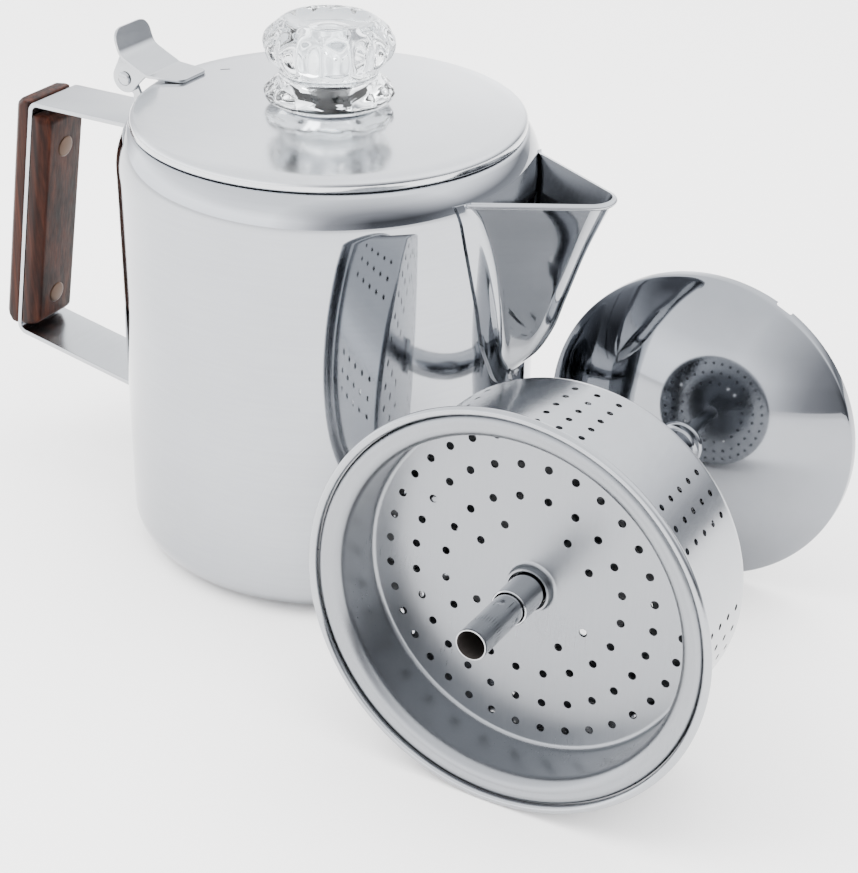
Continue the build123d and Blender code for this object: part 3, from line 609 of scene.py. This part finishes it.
def make_spout():
    levels = spout_levels()
    verts, faces = [], []
    for z in levels:
        half = spout_row(z)
        row = [(x, -y) for x, y in half] + [(x, y) for x, y in reversed(half[:-1])]
        verts += [(x, y, z) for x, y in row]
    n = len(verts) // len(levels)
    for i in range(len(levels) - 1):
        for j in range(n - 1):
            faces.append([i * n + j, i * n + j + 1, (i + 1) * n + j + 1, (i + 1) * n + j])
    skin = to_object("spout_skin", verts, faces, MIRROR)
    # the inner face takes the darker steel, with its painted shade
    skin.data.materials.append(SPOUT_INNER_SHADE)
    thicken(skin, FLANGE, even=False).modifiers["sheet"].material_offset = 1
    settle(skin, 50)
    # a hem rolled outwards along the free top edge
    half = [p for p in spout_row(SPOUT_TOP) if hypot(*p) > wall_radius(SPOUT_TOP) + FLANGE + 0.4]
    line = [(x, -y) for x, y in half] + [(x, y) for x, y in reversed(half[:-1])]
    hem = sweep_round("spout_hem", [Vector((x, y, SPOUT_TOP - 0.75)) for x, y in line], 0.78, MIRROR)
    fit(hem, "pot", "polished_steel")
    return fit(skin, "pot", "polished_steel", "spout")


def sweep_round(name, points, radius, material, sides=12, place=HERE):
    """Round bar along a line of points, closed with domed ends."""
    verts, faces = [], []
    up = Vector((0, 0, 1))
    for i, point in enumerate(points):
        before = points[max(i - 1, 0)]
        after = points[min(i + 1, len(points) - 1)]
        tangent = (after - before).normalized()
        side = tangent.cross(up).normalized()
        over = side.cross(tangent)
        for k in range(sides):
            a = 2 * pi * k / sides
            verts.append(tuple(point + side * radius * cos(a) + over * radius * sin(a)))
    for i in range(len(points) - 1):
        for k in range(sides):
            m = (k + 1) % sides
            faces.append([i * sides + k, i * sides + m, (i + 1) * sides + m, (i + 1) * sides + k])
    faces.append(list(range(sides))[::-1])
    faces.append([len(verts) - sides + k for k in range(sides)])
    obj = to_object(name, verts, faces, material, place)
    return settle(turn_outwards(obj), 60)


# ------------------------------------------------------------------ handle
def make_strap():
    slope = (LEG_FOOT_Z - LOW_ARM_Z) / (-POT_R - LEG_FOOT_X)
    wall_x = -POT_R - 0.2
    outer = [(wall_x, ARM_Z), (LEG_TOP_X, ARM_Z), (LEG_FOOT_X, LEG_FOOT_Z), (wall_x, LOW_ARM_Z)]
    lean = atan2(LEG_TOP_X - LEG_FOOT_X, ARM_Z - LEG_FOOT_Z)
    rise = STRAP * sqrt(1 + slope ** 2)
    top_in_x = LEG_TOP_X + (STRAP - STRAP * sin(lean)) / cos(lean)
    foot_in = (LEG_FOOT_X + STRAP * 1.02, LEG_FOOT_Z + rise - slope * STRAP)
    inner = [(wall_x, LOW_ARM_Z + rise), foot_in, (top_in_x, ARM_Z - STRAP), (wall_x, ARM_Z - STRAP)]
    outline = rounded(outer + inner, [0, 4.0, 4.0, 0, 0, 2.2, 2.2, 0])
    strap = plate("handle_strip", outline, -STRAP_HALF, STRAP_HALF, SATIN)
    soften(strap, 0.35)
    settle(strap)
    tabs = []
    for low, high in ((ARM_Z - 18.0, ARM_Z - 1.0), (LOW_ARM_Z + 1.0, LOW_ARM_Z + 18.0)):
        tabs.append(wall_tab(low, high))
    return fit(join(strap, tabs), "pot", "satin_steel", "handle_strap")


def wall_tab(low, high):
    """Welded end of the strip, bent to the pot's wall."""
    half = asin(STRAP_HALF / POT_R)
    angles = np.linspace(pi - half, pi + half, 17)
    verts = [(r * cos(a), r * sin(a), z) for z in (low, high) for r in (POT_R + 0.05, POT_R + STRAP)
             for a in angles]
    n = len(angles)
    a, b, c, d = 0, n, 2 * n, 3 * n
    faces = []
    for j in range(n - 1):
        faces += [[b + j, b + j + 1, d + j + 1, d + j], [a + j + 1, a + j, c + j, c + j + 1],
                  [a + j, a + j + 1, b + j + 1, b + j], [c + j + 1, c + j, d + j, d + j + 1]]
    faces += [[a, b, d, c], [b + n - 1, a + n - 1, c + n - 1, d + n - 1]]
    tab = to_object("tab", verts, faces, SATIN)
    soften(tab, 0.35)
    return settle(tab)


def grip_matrix():
    """Frame on the outer leg: x down the leg, z outwards."""
    lean = atan2(LEG_TOP_X - LEG_FOOT_X, ARM_Z - LEG_FOOT_Z)
    outward = Vector((-cos(lean), 0, sin(lean)))
    down = Vector((-sin(lean), 0, -cos(lean)))
    side = outward.cross(down)
    turn = Matrix((down, side, outward)).transposed().to_4x4()
    return Matrix.Translation((LEG_TOP_X, 0, ARM_Z)) @ turn


def scale_mesh(name, start, end, low, high, edge, outer_up):
    """Wooden scale, its far long edges planed to a chamfer and every edge eased."""
    half = STRAP_HALF
    sign = 1 if outer_up else -1
    section = [(-half, low), (half, low), (half, high - sign * edge), (half - edge, high),
               (-half + edge, high), (-half, high - sign * edge)]
    verts, faces = [], []
    stations = [start, start + 2.4] + list(np.linspace(start + 8, end - 8, 5)) + [end - 2.4, end]
    for i, x in enumerate(stations):
        dip = 1.9 if i in (0, len(stations) - 1) else 0.0
        for y, z in section:
            far = abs(z - low) > 2.5
            verts.append((x, y, z - sign * dip if far else z))
    n = len(section)
    for i in range(len(stations) - 1):
        for j in range(n):
            k = (j + 1) % n
            faces.append([i * n + j, i * n + k, (i + 1) * n + k, (i + 1) * n + j])
    faces.append(list(range(n))[::-1])
    faces.append([len(verts) - n + j for j in range(n)])
    obj = to_object(name, verts, faces, WOOD, grip_matrix())
    turn_outwards(obj)
    soften(obj, 0.7, 4, 20)
    return settle(obj, 40)


def make_grips():
    outer = scale_mesh("grip_scale_outer", 0.6, 91.9, 0.03, GRIP, 2.4, True)
    fit(outer, "pot", "rosewood", "grip_outer")
    inner = scale_mesh("grip_scale_inner", 4.6, 90.9, -STRAP - 0.03, -STRAP - GRIP, 3.0, False)
    fit(inner, "pot", "rosewood", "grip_inner")
    lean = atan2(LEG_TOP_X - LEG_FOOT_X, ARM_Z - LEG_FOOT_Z)
    heads = []
    for height in RIVET_HEIGHTS:
        drop = (ARM_Z - height) / cos(lean)
        for level, sign in ((GRIP, 1), (-STRAP - GRIP, -1)):
            outline = [(0, -0.6), (4.0, -0.6), (4.0, 0.0), (3.8, 0.18), (3.4, 0.24), (0, 0.28)]
            flip = Matrix.Identity(4) if sign == 1 else Matrix.Rotation(pi, 4, "X")
            place = grip_matrix() @ Matrix.Translation((drop, 0, level)) @ flip
            heads.append(settle(lathe("rivet", outline, RIVET_STEEL, 48, False, place)))
    fit(join(heads[0], heads[1:]), "pot", "satin_steel", "grip_rivets").name = "grip_rivet_heads"


# ------------------------------------------------------------------ hinge
def make_lever():
    """Thumb lever: one strip bent into leaf, incline and thumb plate, with an ear each side."""
    path = [(-81.3, 170.7), (-78.6, 161.6), (-67.4, LEAF_Z), (-53.8, LEAF_Z)]
    line = rounded(path, [0, 6.0, 5.0, 0], steps=10, closed=False)
    dense = []
    for a, b in zip(line, line[1:]):
        count = max(1, int(hypot(b[0] - a[0], b[1] - a[1]) / 0.5))
        dense += [(a[0] + (b[0] - a[0]) * t / count, a[1] + (b[1] - a[1]) * t / count)
                  for t in range(count)]
    dense.append(line[-1])
    lengths = [0.0]
    for a, b in zip(dense, dense[1:]):
        lengths.append(lengths[-1] + hypot(b[0] - a[0], b[1] - a[1]))
    total = lengths[-1]
    verts, faces, n = [], [], 25
    for (x, z), s in zip(dense, lengths):
        half = LEVER_HALF
        if s < TIP_ROUND:
            half = LEVER_HALF - TIP_ROUND + sqrt(max(TIP_ROUND ** 2 - (TIP_ROUND - s) ** 2, 0.0))
        left = total - s
        if left < TAPER_LENGTH:
            half = LEVER_HALF - LEAF_TAPER * (1 - left / TAPER_LENGTH)
        if left < LEAF_ROUND:
            half -= LEAF_ROUND - sqrt(max(LEAF_ROUND ** 2 - (LEAF_ROUND - left) ** 2, 0.0))
        verts += [(x, half * y, z) for y in np.linspace(-1, 1, n)]
    for i in range(len(dense) - 1):
        for j in range(n - 1):
            faces.append([i * n + j, (i + 1) * n + j, (i + 1) * n + j + 1, i * n + j + 1])
    strip = to_object("thumb_lever_sheet", verts, faces, SATIN)
    thicken(strip, 1.0, 1.0)
    soften(strip, 0.3)
    settle(strip, 40)
    ears = []
    for side in (-1, 1):
        low, high = sorted((side * EAR_Y, side * LEVER_HALF))
        circle = [(PIN_X + EAR_R * cos(radians(a)), PIN_Z + EAR_R * sin(radians(a)))
                  for a in range(150, 331, 10)]
        outline = [(-78.4, 162.0)] + circle + [(-67.6, 156.6)]
        ears.append(settle(soften(plate("ear", outline, low, high, SATIN), 0.3)))
    return fit(join(strip, ears), "lid", "satin_steel", "thumb_lever")


def make_pin():
    outline = [(0, -PIN_HALF), (1.4, -10.85), (2.2, -10.5), (PIN_HEAD_R, -10.1), (PIN_HEAD_R, -10.0),
               (PIN_R, -10.0)]
    outline += [(r, -y) for r, y in reversed(outline)]
    turn = Matrix.Translation((PIN_X, 0, PIN_Z)) @ Matrix.Rotation(pi / 2, 4, "X")
    pin = settle(lathe("hinge_pin_bar", outline, SATIN, 40, False, turn))
    return fit(pin, "pot", "satin_steel", "hinge_pin")


# ------------------------------------------------------------------ lid and knob
def make_lid():
    low = MOUTH_Z + 0.25
    roll = 0.95
    crown = smooth_line([(KNOB_HOLE_R, LID_CROWN_Z - 0.02), (LID_CROWN_R, LID_CROWN_Z), (44.0, 156.55),
                         (60.0, 155.62)], 8)
    bead = arc((LID_R - 2.3, LID_EDGE_Z - 2.35), 2.3, 78, 0, 10)
    hem = arc((LID_R - roll, low + roll), roll, 0, -250, 16)
    outline = crown + bead + hem
    inner = [(LID_R - 1.0, LID_EDGE_Z - 2.4)] + arc((LID_R - 2.3, LID_EDGE_Z - 2.4), 1.3, 20, 78, 5)
    inner += [(r, z - 0.75) for r, z in reversed(crown)]
    lid = lathe("lid_skin", outline + inner, LID_STEEL, 300, True)
    vent = plate("vent_cutter", [(-1.7, 150), (1.7, 150), (1.7, 160), (-1.7, 160)], -0.45, 0.45, SATIN)
    vent.matrix_world = Matrix.Translation((-0.0503, 0.013, 0)) @ Matrix.Rotation(radians(35), 4, "Z")
    carve(lid, vent)
    settle(lid, 32)
    return fit(lid, "lid", "polished_steel", "lid_shell")


def make_seat():
    top = LID_CROWN_Z + 1.2
    outline = [(12.2, 155.6), (KNOB_HOLE_R, 155.6), (KNOB_HOLE_R, LID_CROWN_Z), (15.7, LID_CROWN_Z),
               (16.0, LID_CROWN_Z + 0.3), (16.0, top - 0.35), (15.6, top), (12.5, top), (12.2, top - 0.3)]
    seat = settle(lathe("knob_seat_ring", outline, SATIN, 96))
    return fit(seat, "lid", "satin_steel", "knob_seat")


def make_knob():
    """Pressed glass: spigot, broad foot, waist and a fluted cap with a dished top."""
    base = LID_CROWN_Z + 1.5
    outer = [(SPIGOT_R, KNOB_FOOT_Z), (SPIGOT_R, base)]
    outer += smooth_line([(12.4, base), (17.8, base + 0.05), (20.6, 159.6), (21.7, 161.2), (21.0, 163.2),
                          (18.6, 165.2), (16.6, 167.2), (16.5, 169.2), (18.2, 171.3), (20.6, 173.6),
                          (21.8, 176.6), (21.7, 179.4), (20.4, 181.8), (18.0, 183.8), (15.6, 185.5),
                          (14.0, 186.05), (12.4, 185.75), (9.0, 185.0), (4.0, 184.7), (0.0, 184.6)], 6)
    inner = [(0.0, 180.0)] + arc((0.0, 171.0), KNOB_BORE_R, 90, 0, 12)[1:]
    inner += [(KNOB_BORE_R, 160.0), (KNOB_BORE_R, KNOB_FOOT_Z)]

    def fluted(r, z, a):
        if z < 170.2 or r < 12.6 or z > 185.9:
            depth = 0.0
            if 159.2 < z < 166.5 and r > 17.5:
                depth = 0.55 * sin(pi * (z - 159.2) / 7.3)
        else:
            depth = 1.5 * sin(pi * min(1.0, (z - 170.2) / 14.5)) ** 0.6
        wave = abs(cos(a * FLUTES / 2)) ** 1.4
        return r - depth * (1 - wave)

    knob = lathe("knob_pressed", outer + inner, GLASS, 14 * 24, True, radius_at=fluted)
    settle(knob, 60)
    lugs = []
    for turn in (0, 180):
        angles = [radians(turn + a) for a in np.linspace(-15, 15, 9)]
        outline = [(11.6, 153.25), (14.0, 153.25), (14.2, 153.5), (14.2, 154.9), (14.0, 155.15),
                   (11.6, 155.15)]
        verts = [(r * cos(a), r * sin(a), z) for a in angles for r, z in outline]
        n = len(outline)
        faces = [[i * n + j, i * n + (j + 1) % n, (i + 1) * n + (j + 1) % n, (i + 1) * n + j]
                 for i in range(len(angles) - 1) for j in range(n)]
        faces += [list(range(n)), [len(verts) - n + j for j in range(n)][::-1]]
        lugs.append(settle(to_object("lug", verts, faces, GLASS)))
    return fit(join(knob, lugs), "knob", "clear_glass", "knob_glass")


# ------------------------------------------------------------------ pump set
def make_dome():
    half, rise = DOME_R, DOME_RISE
    sphere = (half ** 2 + rise ** 2) / (2 * rise)
    centre = DOME_SKIRT + rise - sphere
    lean = degrees(asin((half - 0.6) / sphere))
    outline = [(half, 0.0), (half, 0.6), (half, DOME_SKIRT - 0.6)]
    outline += [(half - 0.12, DOME_SKIRT - 0.1), (half - 0.4, DOME_SKIRT + 0.22)]
    outline += [(sphere * sin(radians(a)), centre + sphere * cos(radians(a)))
                for a in np.linspace(lean, degrees(asin(4.9 / sphere)), 40)]
    inner = sphere - DOME_SHEET
    outline += [(inner * sin(radians(a)), centre + inner * cos(radians(a)))
                for a in np.linspace(degrees(asin(4.9 / inner)), degrees(asin((half - 1.2) / inner)), 24)]
    outline += [(half - DOME_SHEET, DOME_SKIRT - 0.9), (half - DOME_SHEET, 0.0)]
    # the dome takes the darker polished steel, with its painted shade
    dome = lathe("dome_skin", outline, DOME_SHADED_STEEL, 360, True, SET)
    cutters = []
    for i in range(NOTCHES):
        turn = Matrix.Rotation(radians(NOTCH_PHASE + 360 / NOTCHES * i), 4, "Z")
        corners = [(-NOTCH_HALF, -3.0), (NOTCH_HALF, -3.0), (NOTCH_HALF, NOTCH_TOP),
                   (-NOTCH_HALF, NOTCH_TOP)]
        outline = rounded(corners, [0, 0, 1.0, 1.0], 4)
        stand = SET @ turn @ Matrix.Translation((DOME_R, 0, 0)) @ Matrix.Rotation(pi / 2, 4, "Z")
        cutter = plate("notch", outline, -4.0, 4.0, MIRROR)
        for vertex in cutter.data.vertices:
            vertex.co = (stand @ (vertex.co / MM)) * MM
        cutters.append(cutter)
    carve(dome, join(cutters[0], cutters[1:]))
    settle(dome, 30)
    return fit(dome, "pump", "polished_steel", "pump_dome")


def make_tube():
    bore = TUBE_R - 0.5
    steps = list(np.linspace(TUBE_FOOT + 0.3, 145.0, 30)) + list(np.linspace(145.5, TUBE_END - 0.3, 60))
    outline = [(bore + 0.12, TUBE_FOOT), (TUBE_R - 0.12, TUBE_FOOT)] + [(TUBE_R, z) for z in steps]
    outline += [(TUBE_R - 0.08, TUBE_END - 0.05), (TUBE_R - 0.22, TUBE_END), (bore + 0.1, TUBE_END)]
    outline += [(bore, TUBE_END - 0.15), (bore, 140.0), (bore, TUBE_FOOT + 0.2)]

    def dented(r, z, a):
        """Four shallow crimp marks just in front of the sleeve."""
        if r < TUBE_R - 0.05:
            return r
        nearest = abs((a / (pi / 2) + 0.5) % 1 - 0.5) * pi / 2 * TUBE_R
        depth = max(0.0, 1 - (nearest / 1.1) ** 2) * max(0.0, 1 - ((z - 151.5) / 1.3) ** 2)
        return r - 0.35 * depth

    tube = settle(lathe("pump_tube_wall", outline, TUBE_STEEL, 96, True, SET, dented), 40)
    inverse = SET.inverted()
    # the bore's faces take the near-black steel, as painted shade
    paint(tube, BORE_SHADE, lambda p: hypot(*(inverse @ p).xy) < TUBE_R - 0.35)
    return fit(tube, "pump", "satin_steel", "pump_tube")


def make_ferrule():
    crown = DOME_SKIRT + DOME_RISE
    outline = [(4.76, crown - 0.1), (8.2, crown - 0.45), (8.5, crown - 0.1), (8.3, crown + 0.45),
               (7.6, crown + 0.75), (6.5, crown + 0.9), (5.9, crown + 1.6), (5.75, crown + 2.6),
               (5.75, crown + 6.6),
               (5.5, crown + 7.0), (4.76, crown + 7.0)]
    # the ferrule takes the darker dome steel, with its painted shade
    ferrule = settle(lathe("dome_ferrule_ring", outline, DOME_SHADED_STEEL, 72, True, SET), 50)
    return fit(ferrule, "pump", "satin_steel", "dome_ferrule")


def make_stop():
    top = BASKET_FOOT - 0.3
    outline = [(4.76, top - 4), (6.1, top - 4), (6.4, top - 3.7), (6.4, top - 0.3), (6.1, top), (4.76, top)]
    stop = settle(lathe("stop_ring", outline, TUBE_STEEL, 64, True, SET))
    return fit(stop, "pump", "satin_steel", "stop_collar")


def wall_angles():
    """Column edges round the basket's wall: three drilled cells, then three plain ones, per patch."""
    edges, drilled = [], []
    plain = (360 / PATCHES - COLUMNS * COLUMN_STEP) / 3
    for patch in range(PATCHES):
        start = PATCH_PHASE + 360 / PATCHES * patch - COLUMNS * COLUMN_STEP / 2
        for i in range(COLUMNS):
            edges.append(start + COLUMN_STEP * i)
            drilled.append(True)
        for i in range(3):
            edges.append(start + COLUMNS * COLUMN_STEP + plain * i)
            drilled.append(False)
    return edges, drilled


def fine_angles():
    """Every vertex angle round the basket, in radians."""
    edges, _ = wall_angles()
    ends = edges[1:] + [edges[0] + 360]
    return [radians(a + (b - a) * k / SPLIT) for a, b in zip(edges, ends) for k in range(SPLIT)]


def on_wall(radius, angle, z):
    return (radius * cos(angle), radius * sin(angle), z)


def drilled_cell(radius, a0, a1, z0, z1):
    """One cell of the wall with a round hole in its middle."""
    rim = [(k / SPLIT, 0) for k in range(SPLIT)] + [(1, k / SPLIT) for k in range(SPLIT)]
    rim += [(1 - k / SPLIT, 1) for k in range(SPLIT)] + [(0, 1 - k / SPLIT) for k in range(SPLIT)]
    width = radians(a1 - a0) * radius
    height = z1 - z0
    rings = []
    for t in (0.0, 0.4, 0.75, 0.93, 1.0):
        ring = []
        for s, h in rim:
            x, y = (s - 0.5) * width, (h - 0.5) * height
            reach = hypot(x, y)
            hx, hy = x / reach * SIDE_HOLE_R, y / reach * SIDE_HOLE_R
            px, py = x + (hx - x) * t, y + (hy - y) * t
            ring.append(on_wall(radius, radians((a0 + a1) / 2) + px / radius, (z0 + z1) / 2 + py))
        rings.append(ring)
    n = len(rim)
    verts = [v for ring in rings for v in ring]
    faces = [[i * n + j, i * n + (j + 1) % n, (i + 1) * n + (j + 1) % n, (i + 1) * n + j]
             for i in range(len(rings) - 1) for j in range(n)]
    return verts, faces


def plain_cell(radius, a0, a1, z0, z1, high):
    verts, faces = [], []
    for i in range(high + 1):
        for k in range(SPLIT + 1):
            verts.append(on_wall(radius, radians(a0 + (a1 - a0) * k / SPLIT), z0 + (z1 - z0) * i / high))
    n = SPLIT + 1
    for i in range(high):
        for k in range(SPLIT):
            faces.append([i * n + k, i * n + k + 1, (i + 1) * n + k + 1, (i + 1) * n + k])
    return verts, faces


def gather(parts):
    verts, faces = [], []
    for part_verts, part_faces in parts:
        start = len(verts)
        verts += part_verts
        faces += [[start + i for i in face] for face in part_faces]
    return verts, faces


def drilled_wall():
    edges, drilled = wall_angles()
    ends = edges[1:] + [edges[0] + 360]
    first = FIRST_ROW - ROW_STEP / 2
    last = first + ROWS * ROW_STEP
    foot, top = BASKET_FOOT + 3.0, RIM_TOP - 3.0 - FLARE
    parts = []
    for a0, a1, holes in zip(edges, ends, drilled):
        parts.append(plain_cell(BASKET_R, a0, a1, foot, first, 2))
        for row in range(ROWS):
            z0 = first + row * ROW_STEP
            cell = drilled_cell if holes else plain_cell
            extra = () if holes else (SPLIT,)
            parts.append(cell(BASKET_R, a0, a1, z0, z0 + ROW_STEP, *extra))
        parts.append(plain_cell(BASKET_R, a0, a1, last, top, 3))
    return gather(parts)


def drilled_floor(z, inner, outer, angles, holes):
    """Flat ring with round holes, filled between its edge loops."""
    work = bmesh.new()

    def loop(points):
        verts = [work.verts.new((x, y, z)) for x, y in points]
        for a, b in zip(verts, verts[1:] + verts[:1]):
            work.edges.new((a, b))

    loop([(outer * cos(a), outer * sin(a)) for a in angles])
    loop([(inner * cos(a), inner * sin(a)) for a in angles])
    for cx, cy in holes:
        loop([(cx + HOLE_R * cos(a), cy + HOLE_R * sin(a)) for a in even_angles(24)])
    bmesh.ops.triangle_fill(work, use_beauty=True, use_dissolve=False, edges=work.edges[:])
    work.normal_update()
    for face in work.faces:
        if face.normal.z > 0:
            face.normal_flip()
    work.verts.index_update()
    verts = [tuple(v.co) for v in work.verts]
    faces = [[v.index for v in face.verts] for face in work.faces]
    work.free()
    return verts, faces


def ring_centres(rings):
    return [(r * cos(radians(phase + 360 / count * i)), r * sin(radians(phase + 360 / count * i)))
            for r, count, phase in rings for i in range(count)]


def make_basket():
    angles = fine_angles()
    foot, flange = BASKET_FOOT, RIM_TOP - 3.0
    corner = arc((BASKET_R - 3.0, foot + 3.0), 3.0, -90, 0, 8)
    flare_low = flange - FLARE
    upper = arc((BASKET_R + FLARE, flare_low), FLARE, 180, 90, 8)
    bead_x, bead_z = RIM_R - BEAD_R, RIM_TOP - BEAD_R
    upper += [(bead_x - 2.4, flange), (bead_x - 0.6, flange)]
    upper += arc((bead_x, bead_z), BEAD_R, -75, 215, 22)
    parts = [drilled_floor(foot, SLEEVE_BORE_R + 1.5, BASKET_R - 3.0, angles, ring_centres(PAN_RINGS)),
             lathe_data(corner, angles, False), drilled_wall(), lathe_data(upper, angles, False)]
    verts, faces = gather(parts)
    cup = to_object("basket_wall", verts, faces, BASKET_STEEL, SET, 0.01)
    # the inner face takes the dark steel, with its painted shade
    cup.data.materials.append(BASKET_INNER_SHADE)
    thicken(cup, BASKET_SHEET).modifiers["sheet"].material_offset = 1
    settle(cup, 38)
    return fit(cup, "basket", "brushed_steel", "basket_cup")


def make_sleeve():
    foot = BASKET_FOOT
    outline = [(SLEEVE_BORE_R, foot), (6.5, foot), (6.5, foot + 1.6), (SLEEVE_R + 0.3, foot + 1.8),
               (SLEEVE_R, foot + 2.4), (SLEEVE_R, SLEEVE_END - 0.15), (SLEEVE_R - 0.15, SLEEVE_END),
               (SLEEVE_BORE_R + 0.12, SLEEVE_END), (SLEEVE_BORE_R, SLEEVE_END - 0.12)]
    sleeve = settle(lathe("basket_sleeve_wall", outline, TUBE_STEEL, 96, True, SET))
    fit(sleeve, "basket", "satin_steel", "basket_sleeve")
    low = foot + BASKET_SHEET
    ring = [(6.56, low), (8.7, low), (9.0, low + 0.3), (9.0, low + 0.9), (8.7, low + 1.2),
            (6.56, low + 1.2)]
    crimp = settle(lathe("crimp_ring", ring, SATIN, 72, True, SET))
    return fit(crimp, "basket", "satin_steel", "sleeve_crimp")


def make_spreader():
    angles = fine_angles()
    low = PAN_FLOOR - PAN_SHEET
    flange = RIM_TOP - 3.0 + BASKET_SHEET + 0.3
    collar = [(COLLAR_BORE_R, PAN_FLOOR + COLLAR_HEIGHT), (COLLAR_BORE_R, PAN_FLOOR + 1.4)]
    collar += arc((COLLAR_BORE_R + 1.9, low + 1.9), 1.9, 180, 270, 8)
    wall = arc((PAN_R - 2.0, low + 2.0), 2.0, -90, 0, 8)
    wall += [(PAN_R, z) for z in np.linspace(low + 3.0, flange - PAN_FLARE - 0.4, 8)]
    wall += arc((PAN_R + PAN_FLARE, flange - PAN_FLARE), PAN_FLARE, 180, 90, 12)
    wall += arc((PAN_FLANGE_R - PAN_EDGE_R, flange - 1.0), PAN_EDGE_R, 100, 22, 8)
    holes = ring_centres(PAN_RINGS + [(PAN_PAIR_R, 4, 30.0), (PAN_PAIR_R, 4, 60.0)])
    parts = [lathe_data(collar, angles, False),
             drilled_floor(low, COLLAR_BORE_R + 1.9, PAN_R - 2.0, angles, holes),
             lathe_data(wall, angles, False)]
    verts, faces = gather(parts)
    pan = to_object("spreader_pan", verts, faces, PAN_STEEL, SET, 0.01)
    thicken(pan, PAN_SHEET)
    settle(pan, 38)
    return fit(pan, "spreader", "brushed_steel", "spreader")


# ------------------------------------------------------------------ studio
def make_floor():
    material, nodes, links, shader, coords = new_material("studio floor")
    tone = noise(nodes, links, mapped(nodes, links, coords, (3, 3, 3)), 1.0, 2.0, 0.5)
    links.new(ramp(nodes, links, tone, [(0.3, (0.94, 0.925, 0.91)), (0.7, (0.96, 0.945, 0.93))]),
              shader.inputs["Base Color"])
    shader.inputs["Roughness"].default_value = 0.7
    shader.inputs["Specular IOR Level"].default_value = 0.2
    size = 6000.0
    corners = [(-size, -size, 0), (size, -size, 0), (size, size, 0), (-size, size, 0)]
    floor = to_object("studio_floor", corners, [[0, 1, 2, 3]], material)


def make_light(name, size_x, size_y, place, target, power):
    light = bpy.data.lights.new(name, "AREA")
    light.shape = "RECTANGLE"
    light.size = size_x
    light.size_y = size_y
    light.energy = power
    obj = bpy.data.objects.new(name, light)
    obj.location = place
    obj.rotation_euler = (Vector(place) - Vector(target)).to_track_quat("Z", "Y").to_euler()
    obj.visible_glossy = False
    bpy.context.scene.collection.objects.link(obj)
    return obj


def facing(nodes, links, coords, direction):
    """How far the looked-at part of the sky lies towards a direction, from -1 to 1."""
    dot = nodes.new("ShaderNodeVectorMath")
    dot.operation = "DOT_PRODUCT"
    dot.inputs[1].default_value = direction
    links.new(coords.outputs["Generated"], dot.inputs[0])
    return dot.outputs["Value"]


def make_world():
    """Bright sky on the handle's side, a darker room past the spout, and a dark card at each end."""
    world = bpy.data.worlds.new("studio")
    bpy.context.scene.world = world
    world.use_nodes = True
    nodes = world.node_tree.nodes
    links = world.node_tree.links
    background = nodes["Background"]
    coords = nodes.new("ShaderNodeTexCoord")
    split = nodes.new("ShaderNodeSeparateXYZ")
    links.new(coords.outputs["Generated"], split.inputs["Vector"])
    left_sky = ramp(nodes, links, split.outputs["Z"],
                    [(0.0, (1.50, 1.51, 1.54)), (0.18, (1.60, 1.61, 1.64)), (0.36, (1.15, 1.16, 1.18)),
                     (0.60, (0.95, 0.96, 0.98))])
    right_sky = ramp(nodes, links, split.outputs["Z"],
                     [(0.0, (0.26, 0.27, 0.29)), (0.14, (0.17, 0.175, 0.19)), (0.34, (0.75, 0.76, 0.79)),
                      (0.52, (1.15, 1.16, 1.18))])
    across = facing(nodes, links, coords, (0.94, 0.34, 0.0))
    height_mix = nodes.new("ShaderNodeMix")
    height_mix.data_type = "RGBA"
    links.new(ranged(nodes, links, across, 0.0, 1.0, -0.05, 0.55), height_mix.inputs["Factor"])
    links.new(left_sky, height_mix.inputs["A"])
    links.new(right_sky, height_mix.inputs["B"])
    height = height_mix.outputs["Result"]
    side = facing(nodes, links, coords, (-0.80, 0.60, 0.0))
    cards = ramp(nodes, links, ranged(nodes, links, side, 0.0, 1.0, -1.0, 1.0),
                 [(0.04, (0.30, 0.30, 0.31)), (0.20, (1.0, 1.0, 1.0)), (0.93, (1.0, 1.0, 1.0)),
                  (0.99, (0.35, 0.35, 0.36))])
    mix = nodes.new("ShaderNodeMix")
    mix.data_type = "RGBA"
    mix.blend_type = "MULTIPLY"
    mix.inputs["Factor"].default_value = 1.0
    links.new(height, mix.inputs["A"])
    links.new(cards, mix.inputs["B"])
    links.new(mix.outputs["Result"], background.inputs["Color"])
    background.inputs["Strength"].default_value = SKY_STRENGTH


def make_camera():
    turn = Euler((pi / 2 - ELEVATION, 0, AZIMUTH)).to_matrix() @ Matrix.Rotation(ROLL, 3, "Z")
    data = bpy.data.cameras.new("camera")
    data.sensor_width = SENSOR
    data.lens = FOCAL_RATIO * SENSOR
    data.dof.use_dof = False
    camera = bpy.data.objects.new("camera", data)
    camera.matrix_world = Matrix.Translation(CAMERA_PLACE) @ turn.to_4x4()
    bpy.context.scene.collection.objects.link(camera)
    bpy.context.scene.camera = camera


make_pot()
make_spout()
make_strap()
make_grips()
make_lever()
make_pin()
make_lid()
make_seat()
make_knob()
make_dome()
make_tube()
make_ferrule()
make_stop()
make_basket()
make_sleeve()
make_spreader()
for kept in ("hinge_bracket", "hinge_washers"):
    node = frame["nodes"][kept]
    node.data.materials.clear()
    node.data.materials.append(SATIN)

make_floor()
make_world()
for light in LIGHTS:
    make_light(*light)
make_camera()
